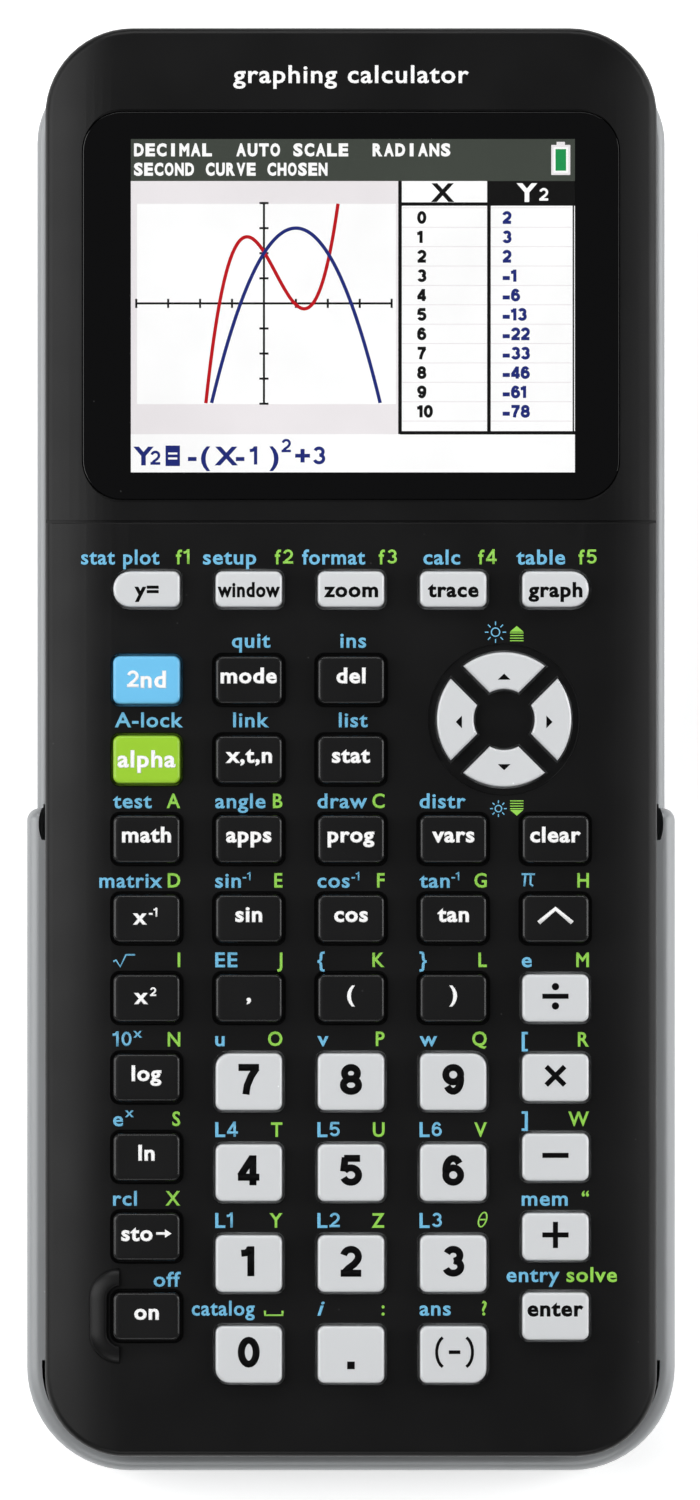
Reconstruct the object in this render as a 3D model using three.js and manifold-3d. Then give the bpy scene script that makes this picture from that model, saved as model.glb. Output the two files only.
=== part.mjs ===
// A graphing calculator lying face up on its slide case, which is clipped over its back.
// Millimetres. +Z points out of the key face, +Y towards the display end, and the origin is the
// middle of the slide case's flat back, at the bottom centre of the whole object.
import * as THREE from "three";
import { mergeVertices } from "three/addons/utils/BufferGeometryUtils.js";
import Module from "manifold-3d";

const wasm = await Module();
wasm.setup();

// ---------------------------------------------------------------- driving dimensions
const OVERALL_LENGTH = 190;
const BODY = { width: 80.5, length: 187.85, thickness: 15.6, topRadius: 11.5, bottomRadius: 10.6 };
const CASE = {
  width: 85.5, upperWidth: 83.1, topY: 91, stepY: -7.6, wall: 2, panel: 1.6,
  wallHeight: 13, rimHeight: 4, keyRoom: 2.8, cornerRadius: 13.7, upperRadius: 10.5, edge: 1.4,
};
const COLUMN_PITCH = 13.43;
const ROW_PITCH = 10.45;
const NUMBER_PITCH = 11.945;
const FUNCTION_ROW_Y = 21.2;
const FIRST_ROW_Y = 9.27;
const NUMBER_ROW_Y = -43.53;
const KEY = { width: 8.95, height: 6.45, rise: 1.7, travel: 1, edge: 0.3, radius: 0.95, wideRadius: 1.7 };
const FUNCTION_KEY_HEIGHT = 4.9;
const NUMBER_KEY_HEIGHT = 7.7;
const ARROWS = { x: 20.12, y: 4.08, outerRadius: 8.85, innerRadius: 4, halfGap: 1.09, dishRadius: 9.9, dishDepth: 0.35 };
const WINDOW = { width: 70.5, height: 50.9, y: 58.5, radius: 5.2, thickness: 0.85, recess: 0.25 };
const SCREEN = { width: 58.4, height: 43.85, x: 0.25, y: 58.5 };
const SIDE_ROLL = { width: 9.75, drop: 1.6 };
const SHELL_WALL = 1.6;
const PLATE = 1.8;
const SEAM = { y: 30.1, width: 0.4, depth: 0.3 };
const GUARD = { reach: 3.1, gap: 0.75, rise: 0.8, edge: 0.75 };
const SCREW_X = 34.5;
const SCREW_YS = [87, 0, -84];
const BAY = { width: 52.8, length: 38.8, y: -48, ledge: 2.6, wallTop: 10.4 };
const BATTERY = { width: 50, length: 33, thickness: 4.4, y: -49.5 };
const USB = { x: 22, width: 7.7, height: 3.9, depth: 9.2, wall: 0.4 };
const RESET = { x: 0, y: 38, radius: 1.4, recess: 0.6, top: 9.65, switchHeight: 1.2 };

// Clearances between pieces
const KEY_GAP = 0.25;
const JOIN_GAP = 0.05;
const SLIDE_GAP = 0.2;

// ---------------------------------------------------------------- levels above the table
const REAR_Z = CASE.panel + CASE.keyRoom;
const FACE_Z = REAR_Z + BODY.thickness;
const PARTING_Z = 13.4;
const PLATE_UNDERSIDE = FACE_Z - PLATE;
const SIDE_ROOF_Z = 16.6;
const LEDGE_Z = FACE_Z - WINDOW.recess - WINDOW.thickness - JOIN_GAP;
const FLANGE_TOP = PLATE_UNDERSIDE - 0.1;
const FLANGE_BOTTOM = FLANGE_TOP - 0.9;
const STEM_BOTTOM = FLANGE_BOTTOM - 1;
const BOARD_TOP = 13;
const BOARD_BOTTOM = 11.6;
const SHEET_TOP = 13.8;
const REAR_FLOOR = REAR_Z + SHELL_WALL;
const GROOVE_BOTTOM = 11.6;

const BODY_TOP_Y = OVERALL_LENGTH / 2;
const BODY_MIDDLE_Y = BODY_TOP_Y - BODY.length / 2;
const CUT = 5; // how far a cutting tool runs past the surface it opens

// ---------------------------------------------------------------- materials
const plastic = (color, roughness) => new THREE.MeshStandardMaterial({ color, roughness, metalness: 0 });
const metal = (color, roughness) => new THREE.MeshStandardMaterial({ color, roughness, metalness: 1 });
const MATERIALS = {
  frontBlack: plastic(0x1b1b1c, 0.42),
  rearBlack: plastic(0x202022, 0.6),
  keyBlack: plastic(0x1f1f20, 0.45),
  keyWhite: plastic(0xd6d9dc, 0.4),
  keyBlue: plastic(0x6ec2ee, 0.4),
  keyGreen: plastic(0x9acd37, 0.4),
  caseSilver: plastic(0xa4a9ad, 0.35),
  window: plastic(0x0d0d0e, 0.08),
  rubber: plastic(0x8e9294, 0.8),
  board: plastic(0x1f5a36, 0.5),
  battery: plastic(0x2b2d33, 0.45),
  display: metal(0xb8babd, 0.35),
};

// ---------------------------------------------------------------- making solids
// three.js draws an arc with twice this many segments
const CORNER_SEGMENTS = 1;
const ARROW_SEGMENTS = 3;
const BIG_CORNER_SEGMENTS = 4;

function solid(geometry) {
  const bare = geometry.clone();
  bare.deleteAttribute("normal");
  bare.deleteAttribute("uv");
  const merged = mergeVertices(bare, 1e-4);
  return new wasm.Manifold(
    new wasm.Mesh({
      numProp: 3,
      vertProperties: new Float32Array(merged.attributes.position.array),
      triVerts: new Uint32Array(merged.index.array),
    }),
  );
}

function geometryOf(made) {
  const mesh = made.asOriginal().simplify(1e-3).getMesh();
  return new THREE.BufferGeometry()
    .setAttribute("position", new THREE.BufferAttribute(mesh.vertProperties, 3))
    .setIndex(new THREE.BufferAttribute(mesh.triVerts, 1));
}

const joined = (solids) => solids.reduce((whole, one) => whole.add(one));

// A rectangle about the origin with its own radius at each corner.
function roundedRectangle(width, height, radii) {
  const [topLeft, topRight, bottomRight, bottomLeft] = Array.isArray(radii) ? radii : [radii, radii, radii, radii];
  const [x, y, quarter] = [width / 2, height / 2, Math.PI / 2];
  return new THREE.Shape()
    .absarc(x - topRight, y - topRight, topRight, 0, quarter)
    .absarc(-x + topLeft, y - topLeft, topLeft, quarter, 2 * quarter)
    .absarc(-x + bottomLeft, -y + bottomLeft, bottomLeft, 2 * quarter, 3 * quarter)
    .absarc(x - bottomRight, -y + bottomRight, bottomRight, 3 * quarter, 4 * quarter);
}

function plate(shape, bottom, top, curveSegments = CORNER_SEGMENTS) {
  const settings = { depth: top - bottom, bevelEnabled: false, curveSegments };
  return solid(new THREE.ExtrudeGeometry(shape, settings).translate(0, 0, bottom));
}

// A plate whose top and bottom edges are rounded inside its outline.
function softPlate(shape, bottom, top, edge, curveSegments = CORNER_SEGMENTS, bevelSegments = 1) {
  const settings = {
    depth: top - bottom - 2 * edge,
    bevelEnabled: true,
    bevelThickness: edge,
    bevelSize: edge,
    bevelOffset: -edge,
    bevelSegments,
    curveSegments,
  };
  return solid(new THREE.ExtrudeGeometry(shape, settings).translate(0, 0, bottom + edge));
}

function box(x0, x1, y0, y1, z0, z1) {
  const geometry = new THREE.BoxGeometry(x1 - x0, y1 - y0, z1 - z0);
  return solid(geometry.translate((x0 + x1) / 2, (y0 + y1) / 2, (z0 + z1) / 2));
}

function rod(x, y, bottom, top, radius, sides = 16, topRadius = radius) {
  const geometry = new THREE.CylinderGeometry(topRadius, radius, top - bottom, sides);
  return solid(geometry.rotateX(Math.PI / 2).translate(x, y, (bottom + top) / 2));
}

function named(name, geometry, material) {
  const mesh = new THREE.Mesh(geometry, material);
  mesh.name = name;
  return mesh;
}

// ---------------------------------------------------------------- the body's outline and section
function bodyOutline(inset) {
  const top = BODY.topRadius - inset;
  const bottom = BODY.bottomRadius - inset;
  return roundedRectangle(BODY.width - 2 * inset, BODY.length - 2 * inset, [top, top, bottom, bottom]);
}

const bodyPlate = (inset, bottom, top) =>
  plate(bodyOutline(inset), bottom, top, BIG_CORNER_SEGMENTS).translate([0, BODY_MIDDLE_Y, 0]);

// The face is flat in the middle and rolls down to each side along an arc; lowered by `sunk`.
function faceSection(sunk) {
  const half = BODY.width / 2 - sunk;
  const flat = BODY.width / 2 - SIDE_ROLL.width;
  const radius = (SIDE_ROLL.width ** 2 + SIDE_ROLL.drop ** 2) / (2 * SIDE_ROLL.drop);
  const reach = Math.asin((half - flat) / radius);
  const shape = new THREE.Shape()
    .moveTo(-half, PARTING_Z - CUT)
    .lineTo(half, PARTING_Z - CUT)
    .absarc(flat, FACE_Z - radius - sunk, radius, Math.PI / 2 - reach, Math.PI / 2)
    .absarc(-flat, FACE_Z - radius - sunk, radius, Math.PI / 2, Math.PI / 2 + reach);
  const settings = { depth: OVERALL_LENGTH + 2 * CUT, bevelEnabled: false, curveSegments: 5 };
  return solid(new THREE.ExtrudeGeometry(shape, settings).rotateX(Math.PI / 2).translate(0, OVERALL_LENGTH / 2 + CUT, 0));
}

// ---------------------------------------------------------------- where the keys are
const rowY = (row) => FIRST_ROW_Y - row * ROW_PITCH;
const numberY = (row) => NUMBER_ROW_Y - row * NUMBER_PITCH;

// One row of keys; null leaves a column empty. Columns run from the left.
function keyRow(names, y, height, material, corners = {}) {
  return names.flatMap((name, column) => {
    if (!name) return [];
    const radii = corners[name] || KEY.radius;
    return [{ name, x: (column - 2) * COLUMN_PITCH, y, material, shape: (grow) => grownKey(height, radii, grow) }];
  });
}

function grownKey(height, radii, grow) {
  const grown = Array.isArray(radii) ? radii.map((r) => r + grow) : radii + grow;
  return roundedRectangle(KEY.width + 2 * grow, height + 2 * grow, grown);
}

const { radius: TIGHT, wideRadius: WIDE } = KEY;
const CORNERS = {
  key_y_equals: [2.2, TIGHT, TIGHT, 2.2],
  key_graph: [TIGHT, 2.2, 2.2, TIGHT],
  key_7: [WIDE, TIGHT, TIGHT, TIGHT],
  key_9: [TIGHT, WIDE, TIGHT, TIGHT],
  key_0: [TIGHT, TIGHT, TIGHT, WIDE],
  key_negative: [TIGHT, TIGHT, WIDE, TIGHT],
};

const { keyBlack, keyWhite, keyBlue, keyGreen } = MATERIALS;
const RECTANGULAR_KEYS = [
  ...keyRow(["key_y_equals", "key_window", "key_zoom", "key_trace", "key_graph"], FUNCTION_ROW_Y, FUNCTION_KEY_HEIGHT, keyWhite, CORNERS),
  ...keyRow(["key_second"], rowY(0), KEY.height, keyBlue),
  ...keyRow([null, "key_mode", "key_delete"], rowY(0), KEY.height, keyBlack),
  ...keyRow(["key_alpha"], rowY(1), KEY.height, keyGreen),
  ...keyRow([null, "key_variable", "key_statistics"], rowY(1), KEY.height, keyBlack),
  ...keyRow(["key_maths", "key_applications", "key_program", "key_variables", "key_clear"], rowY(2), KEY.height, keyBlack),
  ...keyRow(["key_reciprocal", "key_sine", "key_cosine", "key_tangent", "key_power"], rowY(3), KEY.height, keyBlack),
  ...keyRow(["key_square", "key_comma", "key_open_bracket", "key_close_bracket"], rowY(4), KEY.height, keyBlack),
  ...["key_log", "key_ln", "key_store", "key_on"].flatMap((name, i) => keyRow([name], rowY(5 + i), KEY.height, keyBlack)),
  ...["key_divide", "key_multiply", "key_minus", "key_plus", "key_enter"].flatMap((name, i) =>
    keyRow([null, null, null, null, name], rowY(4 + i), KEY.height, keyWhite),
  ),
  ...[
    ["key_7", "key_8", "key_9"],
    ["key_4", "key_5", "key_6"],
    ["key_1", "key_2", "key_3"],
    ["key_0", "key_point", "key_negative"],
  ].flatMap((names, i) => keyRow([null, ...names], numberY(i), NUMBER_KEY_HEIGHT, keyWhite, CORNERS)),
];

// An arrow key is a quarter of a ring, cut along both diagonals; this one points to +Y.
function arrowShape(grow) {
  const [outer, inner, gap] = [ARROWS.outerRadius + grow, ARROWS.innerRadius - grow, ARROWS.halfGap - grow];
  const [outerTurn, innerTurn] = [Math.PI / 4 - Math.asin(gap / outer), Math.PI / 4 - Math.asin(gap / inner)];
  const up = Math.PI / 2;
  return new THREE.Shape()
    .absarc(0, 0, outer, up - outerTurn, up + outerTurn, false)
    .absarc(0, 0, inner, up + innerTurn, up - innerTurn, true);
}

const ARROW_KEYS = ["key_up", "key_left", "key_down", "key_right"].map((name, i) => ({ name, turn: (i * Math.PI) / 2 }));
const ARROW_REACH = (ARROWS.outerRadius + ARROWS.innerRadius) / 2;
const KEY_CENTRES = [
  ...RECTANGULAR_KEYS.map(({ x, y }) => [x, y]),
  ...ARROW_KEYS.map(({ turn }) => [ARROWS.x - ARROW_REACH * Math.sin(turn), ARROWS.y + ARROW_REACH * Math.cos(turn)]),
];

// ---------------------------------------------------------------- keys
const FLANGE = 0.6;

// A cap with a rounded rim, a flange that stops under the face plate, and a stem onto the dome.
function keySolid(shape, segments, stemX, stemY, flange = FLANGE) {
  const cap = softPlate(shape(0), FLANGE_BOTTOM + 0.2, FACE_Z + KEY.rise, KEY.edge, segments);
  const rim = plate(shape(flange), FLANGE_BOTTOM, FLANGE_TOP, segments);
  return joined([cap, rim, rod(stemX, stemY, STEM_BOTTOM, FLANGE_BOTTOM + 0.2, 1.5, 6)]);
}

function keys() {
  const group = new THREE.Group();
  for (const { name, x, y, shape, material } of RECTANGULAR_KEYS) {
    const key = named(name, geometryOf(keySolid(shape, CORNER_SEGMENTS, 0, 0)), material);
    key.position.set(x, y, 0);
    group.add(key);
  }
  const pad = new THREE.Group();
  pad.position.set(ARROWS.x, ARROWS.y, 0);
  const arrow = geometryOf(keySolid(arrowShape, ARROW_SEGMENTS, 0, ARROW_REACH, 0.45));
  for (const { name, turn } of ARROW_KEYS) {
    const key = named(name, arrow, keyWhite);
    key.rotation.z = turn;
    pad.add(key);
  }
  return group.add(pad);
}

// ---------------------------------------------------------------- front shell
const screwPlaces = () => SCREW_YS.flatMap((y) => [-SCREW_X, SCREW_X].map((x) => [x, y]));

function keyHoles() {
  const [bottom, top] = [PLATE_UNDERSIDE - 1, FACE_Z + 2];
  const rectangular = RECTANGULAR_KEYS.map(({ x, y, shape }) => plate(shape(KEY_GAP), bottom, top).translate([x, y, 0]));
  const arrow = plate(arrowShape(KEY_GAP), bottom, top, ARROW_SEGMENTS);
  const arrows = ARROW_KEYS.map(({ turn }) => arrow.rotate([0, 0, (turn * 180) / Math.PI]).translate([ARROWS.x, ARROWS.y, 0]));
  return joined([...rectangular, ...arrows]);
}

// The raised lip round the left of the on key, which keeps it from being pressed by chance.
function onKeyGuard() {
  const on = RECTANGULAR_KEYS.find((key) => key.name === "key_on");
  const mound = softPlate(on.shape(GUARD.reach), FACE_Z - 1, FACE_Z + GUARD.rise, GUARD.edge, 2);
  const room = plate(on.shape(GUARD.gap), 0, FACE_Z + CUT);
  const left = box(-KEY.width, -KEY.width / 2 + 0.85, -KEY.width, KEY.width, 0, FACE_Z + CUT);
  return mound.subtract(room).intersect(left).translate([on.x, on.y, 0]);
}

function frontShell() {
  const outer = bodyPlate(0, PARTING_Z, FACE_Z + 1).intersect(faceSection(0));
  const sideCavity = bodyPlate(SHELL_WALL, PARTING_Z - CUT, SIDE_ROOF_Z);
  const deepCavity = plate(roundedRectangle(67, BODY.length - 2 * SHELL_WALL, 6), PARTING_Z - CUT, PLATE_UNDERSIDE)
    .translate([0, BODY_MIDDLE_Y, 0]);
  const posts = screwPlaces().map(([x, y]) => rod(x, y, PARTING_Z, PLATE_UNDERSIDE + 0.3, 2, 12));
  const pilots = screwPlaces().map(([x, y]) => rod(x, y, PARTING_Z - CUT, PLATE_UNDERSIDE - 0.9, 0.9, 8));
  const pocketWidth = WINDOW.width + 2 * 0.15;
  const pocketHeight = WINDOW.height + 2 * 0.15;
  const pocket = plate(roundedRectangle(pocketWidth, pocketHeight, WINDOW.radius), LEDGE_Z, FACE_Z + CUT, 5);
  const opening = plate(roundedRectangle(SCREEN.width + 2, SCREEN.height + 2, 1), PLATE_UNDERSIDE - 1, FACE_Z + CUT);
  const seam = box(-BODY.width, BODY.width, SEAM.y - SEAM.width / 2, SEAM.y + SEAM.width / 2, PARTING_Z + 1, FACE_Z + 1);
  const dish = rod(ARROWS.x, ARROWS.y, FACE_Z - ARROWS.dishDepth, FACE_Z + CUT, ARROWS.dishRadius, 40);
  return outer
    .subtract(sideCavity)
    .subtract(deepCavity)
    .add(joined(posts))
    .add(onKeyGuard())
    .subtract(joined(pilots))
    .subtract(pocket.translate([0, WINDOW.y, 0]))
    .subtract(opening.translate([SCREEN.x, SCREEN.y, 0]))
    .subtract(seam.subtract(faceSection(SEAM.depth)))
    .subtract(dish)
    .subtract(keyHoles());
}

// ---------------------------------------------------------------- rear shell and what closes it
const REAR_INSET = 0.25;
const REAR_WALL = 2;
const FOOT_HEIGHT = 0.3;
const COVER_SCREW_XS = [-20, 20];
const COVER_SCREW_Y = BAY.y - BAY.length / 2 - 0.7;
const bayPlate = (grow, bottom, top) =>
  plate(roundedRectangle(BAY.width + 2 * grow, BAY.length + 2 * grow, 1 + grow), bottom, top).translate([0, BAY.y, 0]);

function rearShell() {
  const edge = 3.2;
  const outline = bodyOutline(REAR_INSET);
  const outer = softPlate(outline, REAR_Z, PARTING_Z + edge, edge, BIG_CORNER_SEGMENTS, 3).translate([0, BODY_MIDDLE_Y, 0]);
  const hollow = bodyPlate(REAR_INSET + REAR_WALL, REAR_FLOOR, PARTING_Z + CUT);
  const lid = box(-BODY.width, BODY.width, -OVERALL_LENGTH, OVERALL_LENGTH, PARTING_Z - JOIN_GAP, PARTING_Z + 2 * CUT);
  const bosses = screwPlaces().map(([x, y]) => rod(x, y, REAR_FLOOR - 1, PARTING_Z - JOIN_GAP, 2.3, 12));
  const screwHoles = screwPlaces().flatMap(([x, y]) => [rod(x, y, 0, PARTING_Z + CUT, 1.25, 10), rod(x, y, 0, REAR_Z + 1.2, 2, 12)]);
  const feet = [78, -78].flatMap((y) => [-28, 28].map((x) => rod(x, y, REAR_Z - FOOT_HEIGHT, REAR_Z + 0.5, 3, 16)));
  const bayLedge = bayPlate(BAY.ledge + 1.5, REAR_FLOOR - 0.5, REAR_FLOOR + 1.2);
  const bayWall = bayPlate(1, REAR_FLOOR, BAY.wallTop);
  const coverHole = bayPlate(BAY.ledge + SLIDE_GAP, 0, REAR_FLOOR);
  const coverPilots = COVER_SCREW_XS.map((x) => rod(x, COVER_SCREW_Y, 0, REAR_FLOOR + CUT, 0.8, 8));
  const resetTube = rod(RESET.x, RESET.y, REAR_FLOOR - 0.5, REAR_FLOOR + 1.5, 2.8, 16);
  const resetHole = rod(RESET.x, RESET.y, 0, REAR_FLOOR + CUT, RESET.radius + SLIDE_GAP, 16);
  const grooves = [-1, 1].map((side) => {
    const [inner, outside] = [side * (BODY.width / 2 - 1.15), side * BODY.width];
    return box(Math.min(inner, outside), Math.max(inner, outside), -OVERALL_LENGTH, -10.5, GROOVE_BOTTOM, PARTING_Z + CUT);
  });
  const usbTop = BOARD_BOTTOM + 0.3;
  const usbHole = box(USB.x - USB.width / 2 - 0.3, USB.x + USB.width / 2 + 0.3, BODY_TOP_Y - CUT, BODY_TOP_Y + CUT, usbTop - USB.height - 0.6, usbTop);
  return outer
    .subtract(lid)
    .subtract(hollow)
    .add(joined([...bosses, ...feet, resetTube, bayLedge, bayWall]))
    .subtract(joined([...screwHoles, ...coverPilots]))
    .subtract(coverHole)
    .subtract(bayPlate(0, 0, BAY.wallTop + CUT))
    .subtract(resetHole)
    .subtract(joined(grooves))
    .subtract(usbHole);
}

// The cover is screwed to the ledge of the bay along one side and hooked under it along the other.
function batteryCover() {
  const panel = bayPlate(BAY.ledge, REAR_Z, REAR_FLOOR - JOIN_GAP);
  const hookY = BAY.y + BAY.length / 2 - JOIN_GAP;
  const hooks = [-14, 14].map((x) => box(x - 4, x + 4, hookY - 2.6, hookY, REAR_FLOOR - 1, REAR_FLOOR + 1.2));
  const screwHoles = COVER_SCREW_XS.map((x) => rod(x, COVER_SCREW_Y, 0, REAR_FLOOR + CUT, 1.2, 8));
  return joined([panel, ...hooks]).subtract(joined(screwHoles));
}

function batteryPack() {
  const [bottom, outline] = [REAR_FLOOR + 0.3, roundedRectangle(BATTERY.width, BATTERY.length, 2)];
  return softPlate(outline, bottom, bottom + BATTERY.thickness, 0.8).translate([0, BATTERY.y, 0]);
}

// The plunger stops 0.4 mm short of the back face, and its collar keeps it in the guide tube.
function resetButton() {
  const collarBottom = REAR_FLOOR + 1.5 + SLIDE_GAP;
  const plunger = rod(RESET.x, RESET.y, REAR_Z + RESET.recess, RESET.top, RESET.radius, 16);
  return plunger.add(rod(RESET.x, RESET.y, collarBottom, collarBottom + 0.8, 2.2, 16));
}

// ---------------------------------------------------------------- inside
function usbSocket() {
  const [z1, y1] = [BOARD_BOTTOM + 0.01, BODY_TOP_Y - REAR_INSET - 0.6];
  const z0 = z1 - USB.height;
  const [x0, x1, y0] = [USB.x - USB.width / 2, USB.x + USB.width / 2, y1 - USB.depth];
  const can = box(x0, x1, y0, y1, z0, z1);
  const mouth = box(x0 + USB.wall, x1 - USB.wall, y0 + 1, y1 + CUT, z0 + USB.wall, z1 - USB.wall);
  const tongue = box(USB.x - 2.2, USB.x + 2.2, y0 + 0.5, y1 - 1, z0 + 1.5, z0 + 2.4);
  return can.subtract(mouth).add(tongue);
}

function mainBoard() {
  const board = plate(roundedRectangle(74, 176, 6), BOARD_BOTTOM, BOARD_TOP).translate([0, BODY_MIDDLE_Y, 0]);
  const holes = screwPlaces().map(([x, y]) => rod(x, y, 0, 20, 2.7, 12));
  const chips = [
    [-14, 12, 14, 14, 1.2],
    [12, 14, 10, 12, 1],
    [-16, 64, 9, 9, 1],
    [10, 60, 12, 7, 1.1],
    [-26, 84, 8, 5, 2],
    [0, -14, 12, 4, 2.2],
  ].map(([x, y, width, length, height]) =>
    box(x - width / 2, x + width / 2, y - length / 2, y + length / 2, BOARD_BOTTOM - height, BOARD_BOTTOM + 0.1),
  );
  const resetSwitch = rod(RESET.x, RESET.y, BOARD_BOTTOM - RESET.switchHeight, BOARD_BOTTOM + 0.1, 2, 12);
  return board.subtract(joined(holes)).add(joined([...chips, resetSwitch, usbSocket()]));
}

// One rubber sheet with a hollow dome under every key.
function keypadMembrane() {
  const [top, bottom] = [27, -88];
  const sheet = plate(roundedRectangle(64, top - bottom, 3), BOARD_TOP + JOIN_GAP, SHEET_TOP).translate([0, (top + bottom) / 2, 0]);
  const domes = KEY_CENTRES.map(([x, y]) => rod(x, y, SHEET_TOP - 0.2, STEM_BOTTOM - JOIN_GAP, 2.6, 6, 1.7));
  const hollows = KEY_CENTRES.map(([x, y]) => rod(x, y, BOARD_TOP, STEM_BOTTOM - 0.8, 2, 6, 1.1));
  return joined([sheet, ...domes]).subtract(joined(hollows));
}

function displayModule() {
  const [top, middle, bottom] = [PLATE_UNDERSIDE - 0.2, 17.2, 14.6];
  const glass = plate(roundedRectangle(SCREEN.width + 3.6, SCREEN.height + 3.6, 0.8), middle - 0.1, top);
  const frame = plate(roundedRectangle(66, 49.5, 1.2), bottom, middle);
  const feet = [-30, 30].flatMap((x) => [-21, 21].map((y) => rod(x, y, BOARD_TOP + JOIN_GAP, bottom + 0.2, 1.3, 8)));
  return joined([glass, frame, ...feet]).translate([SCREEN.x, SCREEN.y, 0]);
}

function displayWindow() {
  const [bottom, top] = [LEDGE_Z + JOIN_GAP, FACE_Z - WINDOW.recess];
  return plate(roundedRectangle(WINDOW.width, WINDOW.height, WINDOW.radius), bottom, top, 5).translate([0, WINDOW.y, 0]);
}

// ---------------------------------------------------------------- slide case
function slideCase() {
  const bottomY = -OVERALL_LENGTH / 2;
  const between = (width, y0, y1, radii) => [roundedRectangle(width, y1 - y0, radii), (y0 + y1) / 2];
  const raised = ([shape, y], z0, z1) => softPlate(shape, z0, z1, CASE.edge, BIG_CORNER_SEGMENTS, 2).translate([0, y, 0]);
  const cut = ([shape, y]) => plate(shape, CASE.panel, FACE_Z, BIG_CORNER_SEGMENTS).translate([0, y, 0]);

  const { cornerRadius: corner, upperRadius: upper, wall } = CASE;
  const tall = raised(between(CASE.width, bottomY, CASE.stepY, [1.5, 1.5, corner, corner]), 0, CASE.wallHeight);
  const low = raised(between(CASE.upperWidth, -40, CASE.topY, [upper, upper, 1.5, 1.5]), 0, CASE.rimHeight);
  const tallInside = cut(between(CASE.width - 2 * wall, bottomY + wall, CASE.stepY + 0.5, [0.1, 0.1, corner - wall, corner - wall]));
  const rim = 1.25;
  const lowInside = cut(between(CASE.upperWidth - 2 * rim, -40, CASE.topY - rim, [upper - rim, upper - rim, 1, 1]));

  const [lipInner, lipOuter] = [BODY.width / 2 - 0.85, CASE.width / 2 - wall + 0.5];
  const lips = [-1, 1].map((side) => {
    const x = side * ((lipInner + lipOuter) / 2);
    const half = (lipOuter - lipInner) / 2;
    return box(x - half, x + half, -80.4, -11.8, GROOVE_BOTTOM + SLIDE_GAP, CASE.wallHeight - 0.05);
  });
  return joined([tall, low]).subtract(tallInside).subtract(lowInside).add(joined(lips));
}

// ---------------------------------------------------------------- assembly
const calculator = new THREE.Group();
const body = new THREE.Group();
body.add(
  named("front_shell", geometryOf(frontShell()), MATERIALS.frontBlack),
  named("rear_shell", geometryOf(rearShell()), MATERIALS.rearBlack),
  named("battery_cover", geometryOf(batteryCover()), MATERIALS.rearBlack),
  named("battery_pack", geometryOf(batteryPack()), MATERIALS.battery),
  named("reset_button", geometryOf(resetButton()), MATERIALS.rubber),
  named("main_board", geometryOf(mainBoard()), MATERIALS.board),
  named("keypad_membrane", geometryOf(keypadMembrane()), MATERIALS.rubber),
  named("display_module", geometryOf(displayModule()), MATERIALS.display),
  named("display_window", geometryOf(displayWindow()), MATERIALS.window),
  keys(),
);
calculator.add(body, named("slide_case", geometryOf(slideCase()), MATERIALS.caseSilver));

export default calculator;
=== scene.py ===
"""The looks of a graphing calculator that lies face up on its slide case.

Sizes below are in millimetres and are turned into metres where a piece is made.
"""

import math
import re

import bmesh
import bpy
from mathutils import Matrix, Vector


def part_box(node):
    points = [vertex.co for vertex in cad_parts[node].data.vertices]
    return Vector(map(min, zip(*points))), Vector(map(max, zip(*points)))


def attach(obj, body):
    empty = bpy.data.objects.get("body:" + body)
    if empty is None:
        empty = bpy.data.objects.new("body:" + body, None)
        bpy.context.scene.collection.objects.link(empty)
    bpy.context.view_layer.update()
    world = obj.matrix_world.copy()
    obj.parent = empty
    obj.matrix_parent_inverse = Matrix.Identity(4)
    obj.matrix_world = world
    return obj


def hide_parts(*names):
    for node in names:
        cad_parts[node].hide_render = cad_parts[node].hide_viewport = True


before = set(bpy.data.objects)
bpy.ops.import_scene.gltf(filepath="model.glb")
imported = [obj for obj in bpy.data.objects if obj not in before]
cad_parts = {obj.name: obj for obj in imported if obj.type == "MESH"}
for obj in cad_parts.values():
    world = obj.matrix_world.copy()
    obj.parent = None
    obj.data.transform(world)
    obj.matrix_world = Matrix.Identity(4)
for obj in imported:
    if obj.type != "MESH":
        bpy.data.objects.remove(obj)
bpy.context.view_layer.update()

MM = 0.001
QUARTER_TURN = math.pi / 2


def box_mm(node):
    low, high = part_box(node)
    return low / MM, high / MM


# ---- sizes taken from the frame
SHELL_LOW, SHELL_HIGH = box_mm("front_shell")
REAR_LOW, REAR_HIGH = box_mm("rear_shell")
CASE_LOW, CASE_HIGH = box_mm("slide_case")
LENS_LOW, LENS_HIGH = box_mm("display_window")
COVER_LOW, COVER_HIGH = box_mm("battery_cover")
BOARD_LOW, BOARD_HIGH = box_mm("main_board")

LENS_DEPTH = 0.25
FACE_Z = LENS_HIGH.z + LENS_DEPTH
PRINT_Z = FACE_Z + 0.01
PICTURE_Z = box_mm("display_module")[1].z + 0.03
PARTING_Z = SHELL_LOW.z
BACK_Z = COVER_LOW.z
BODY_MIDDLE_Y = (SHELL_LOW.y + SHELL_HIGH.y) / 2
ROLL_WIDTH = 9.75
ROLL_DROP = 1.6
ROLL_STEPS = 9
SEAM_Y = 30.1
STEM_LENGTH = 1.0
KEY_GAP = 0.25
FLANGE = 0.6
ARROW_FLANGE = 0.45
FLANGE_THICK = 0.9
SCREEN_CENTRE = Vector((0.25, 58.5, 0))
SCREEN_SIZE = Vector((58.4, 43.85, 0))


# ---- modelling by hand, in code
def deselect_all():
    bpy.ops.object.select_all(action="DESELECT")


def activate(piece):
    deselect_all()
    piece.select_set(True)
    bpy.context.view_layer.objects.active = piece


def edit(piece):
    activate(piece)
    bpy.ops.object.mode_set(mode="EDIT")


def select_whole():
    bpy.ops.mesh.select_all(action="SELECT")


def stop_editing():
    bpy.ops.object.mode_set(mode="OBJECT")


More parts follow.
